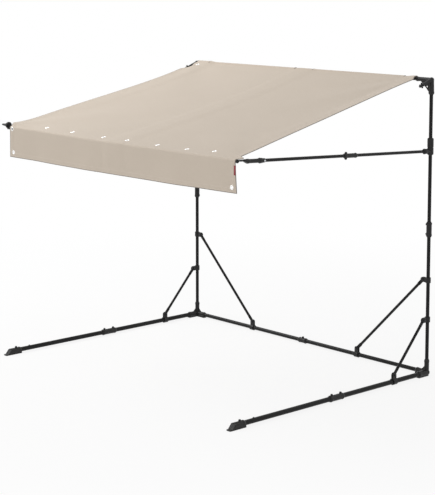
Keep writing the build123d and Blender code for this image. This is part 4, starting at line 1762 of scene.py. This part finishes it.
@dataclass
class Studio:
    """Pale floor, soft light and the camera."""

    lamps: tuple[Lamp, ...] = (KEY_LAMP, FILL_LAMP)
    ambient: float = 0.62
    floor_size: float = 120.0
    floor_grey: Colour = (0.86, 0.86, 0.86)
    fade_reach: Span = (1.2, 4.5)
    whiteness: Span = (0.86, 1.0)
    eye: Point = (5.987, -5.3355, 2.1719)
    heading: float = -47.904
    pitch: float = -6.973
    lens: float = 108.937
    shift: float = -0.2

    def seen_directly(self, graph: Graph) -> bpy.types.NodeSocket:
        """Masks the rays that look straight at the background.

        Args:
            graph: The graph that takes the mask.

        Returns:
            A mask that is 1 for those rays.
        """
        rays = graph.add("ShaderNodeLightPath")
        kinds = ("Is Camera Ray", "Is Glossy Ray", "Is Transmission Ray")
        camera, glossy, clear = (rays.outputs[kind] for kind in kinds)
        return graph.reckon("MAXIMUM", camera, graph.reckon("MAXIMUM", glossy, clear))

    def build_floor(self) -> None:
        """Builds a wide pale floor that turns white away from the canopy."""
        clear_bench()
        bpy.ops.mesh.primitive_plane_add(size=self.floor_size, location=ORIGIN)
        floor = bpy.context.object
        floor.name = "studio_floor"
        material = bpy.data.materials.new("pale_floor")
        material.use_nodes = True
        graph = Graph(material.node_tree)
        place = graph.add("ShaderNodeTexCoord")
        distance = graph.add("ShaderNodeVectorMath", operation="LENGTH")
        graph.feed(distance.inputs[0], place.outputs["Object"])
        fade = graph.add("ShaderNodeMapRange", interpolation_type="SMOOTHSTEP")
        sockets = ("From Min", "From Max", "To Min", "To Max")
        for socket, value in zip(sockets, (*self.fade_reach, *self.whiteness)):
            fade.inputs[socket].default_value = value
        graph.feed(fade.inputs["Value"], distance.outputs["Value"])
        diffuse = graph.add("ShaderNodeBsdfDiffuse")
        diffuse.inputs["Color"].default_value = (*self.floor_grey, 1.0)
        white = graph.add("ShaderNodeEmission")
        mixed = graph.add("ShaderNodeMixShader")
        output = graph.add("ShaderNodeOutputMaterial")
        share = graph.reckon("MULTIPLY", self.seen_directly(graph), fade.outputs["Result"])
        graph.feed(mixed.inputs[0], share)
        graph.feed(mixed.inputs[1], diffuse.outputs["BSDF"])
        graph.feed(mixed.inputs[2], white.outputs["Emission"])
        graph.feed(output.inputs["Surface"], mixed.outputs["Shader"])
        floor.data.materials.append(material)
        floor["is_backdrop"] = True

    def build_sky(self) -> None:
        """Lights the scene softly from all round, with a white background."""
        world = bpy.data.worlds.new("studio_sky")
        world.use_nodes = True
        graph = Graph(world.node_tree)
        sky = graph.add("ShaderNodeBackground")
        sky.inputs["Color"].default_value = (1.0, 1.0, 1.0, 1.0)
        output = graph.add("ShaderNodeOutputWorld")
        strength = graph.spread(self.seen_directly(graph), self.ambient, 1.0)
        graph.feed(sky.inputs["Strength"], strength)
        graph.feed(output.inputs["Surface"], sky.outputs["Background"])
        bpy.context.scene.world = world

    def build_camera(self) -> None:
        """Sets the camera at the photograph's place."""
        data = bpy.data.cameras.new("view")
        data.lens = self.lens
        data.shift_y = self.shift
        camera = bpy.data.objects.new("view", data)
        heading, pitch = math.radians(self.heading), math.radians(self.pitch)
        level = math.cos(pitch)
        look = Vector((math.sin(heading) * level, math.cos(heading) * level, math.sin(pitch)))
        camera.matrix_world = aimed(Vector(self.eye), look)
        bpy.context.scene.collection.objects.link(camera)
        bpy.context.scene.camera = camera

    def build(self) -> None:
        """Builds the floor, the light and the camera."""
        self.build_floor()
        self.build_sky()
        for lamp in self.lamps:
            lamp.hang()
        self.build_camera()
        bpy.context.scene.view_settings.view_transform = "Standard"
        LOG.info("studio: floor, sky, two lamps and camera")


def main() -> None:
    """Builds and dresses the canopy in order."""
    logging.basicConfig(level=logging.INFO, format="%(name)s: %(message)s")
    packed = tuple(corner.copy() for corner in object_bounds())
    post_x = {side: middle_of(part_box(f"{side.word}_post_lower_tube")).x for side in Side}
    middle_x = sum(post_x.values()) / 2
    top = BarSeat.on("top_bar", (*CORNER_SEATS, SPLICE_SEAT))
    front = BarSeat.on("front_bar", (SPLICE_SEAT,))
    cloth = CanopyCloth(top, front, middle_x)
    nickel, zinc, black_steel = NICKEL.material(), ZINC.material(), BLACK_STEEL.material()
    cloth_material = CoatedCloth().material()
    Frame().dress(POWDER_COAT.material(), MOULDED_PLASTIC.material())
    sheet = cloth.build()
    rings = Eyelets(cloth).build(sheet, nickel)
    smooth_by_angle(sheet, CLOTH_ANGLE)
    hand_over(sheet, cloth_material)
    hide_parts("canopy_cloth")
    pockets = RearPockets(cloth).build(cloth_material)
    tab = HemTab(cloth).build(DyedWebbing().material())
    cloth.left.rear + cloth.right.across(1.0, 1.0)
    Screws().build(front, post_x, black_steel, zinc)
    SpringButtons().build(black_steel)
    PivotBolts().build(black_steel)
    Studio().build()


if __name__ == "__main__":
    main()
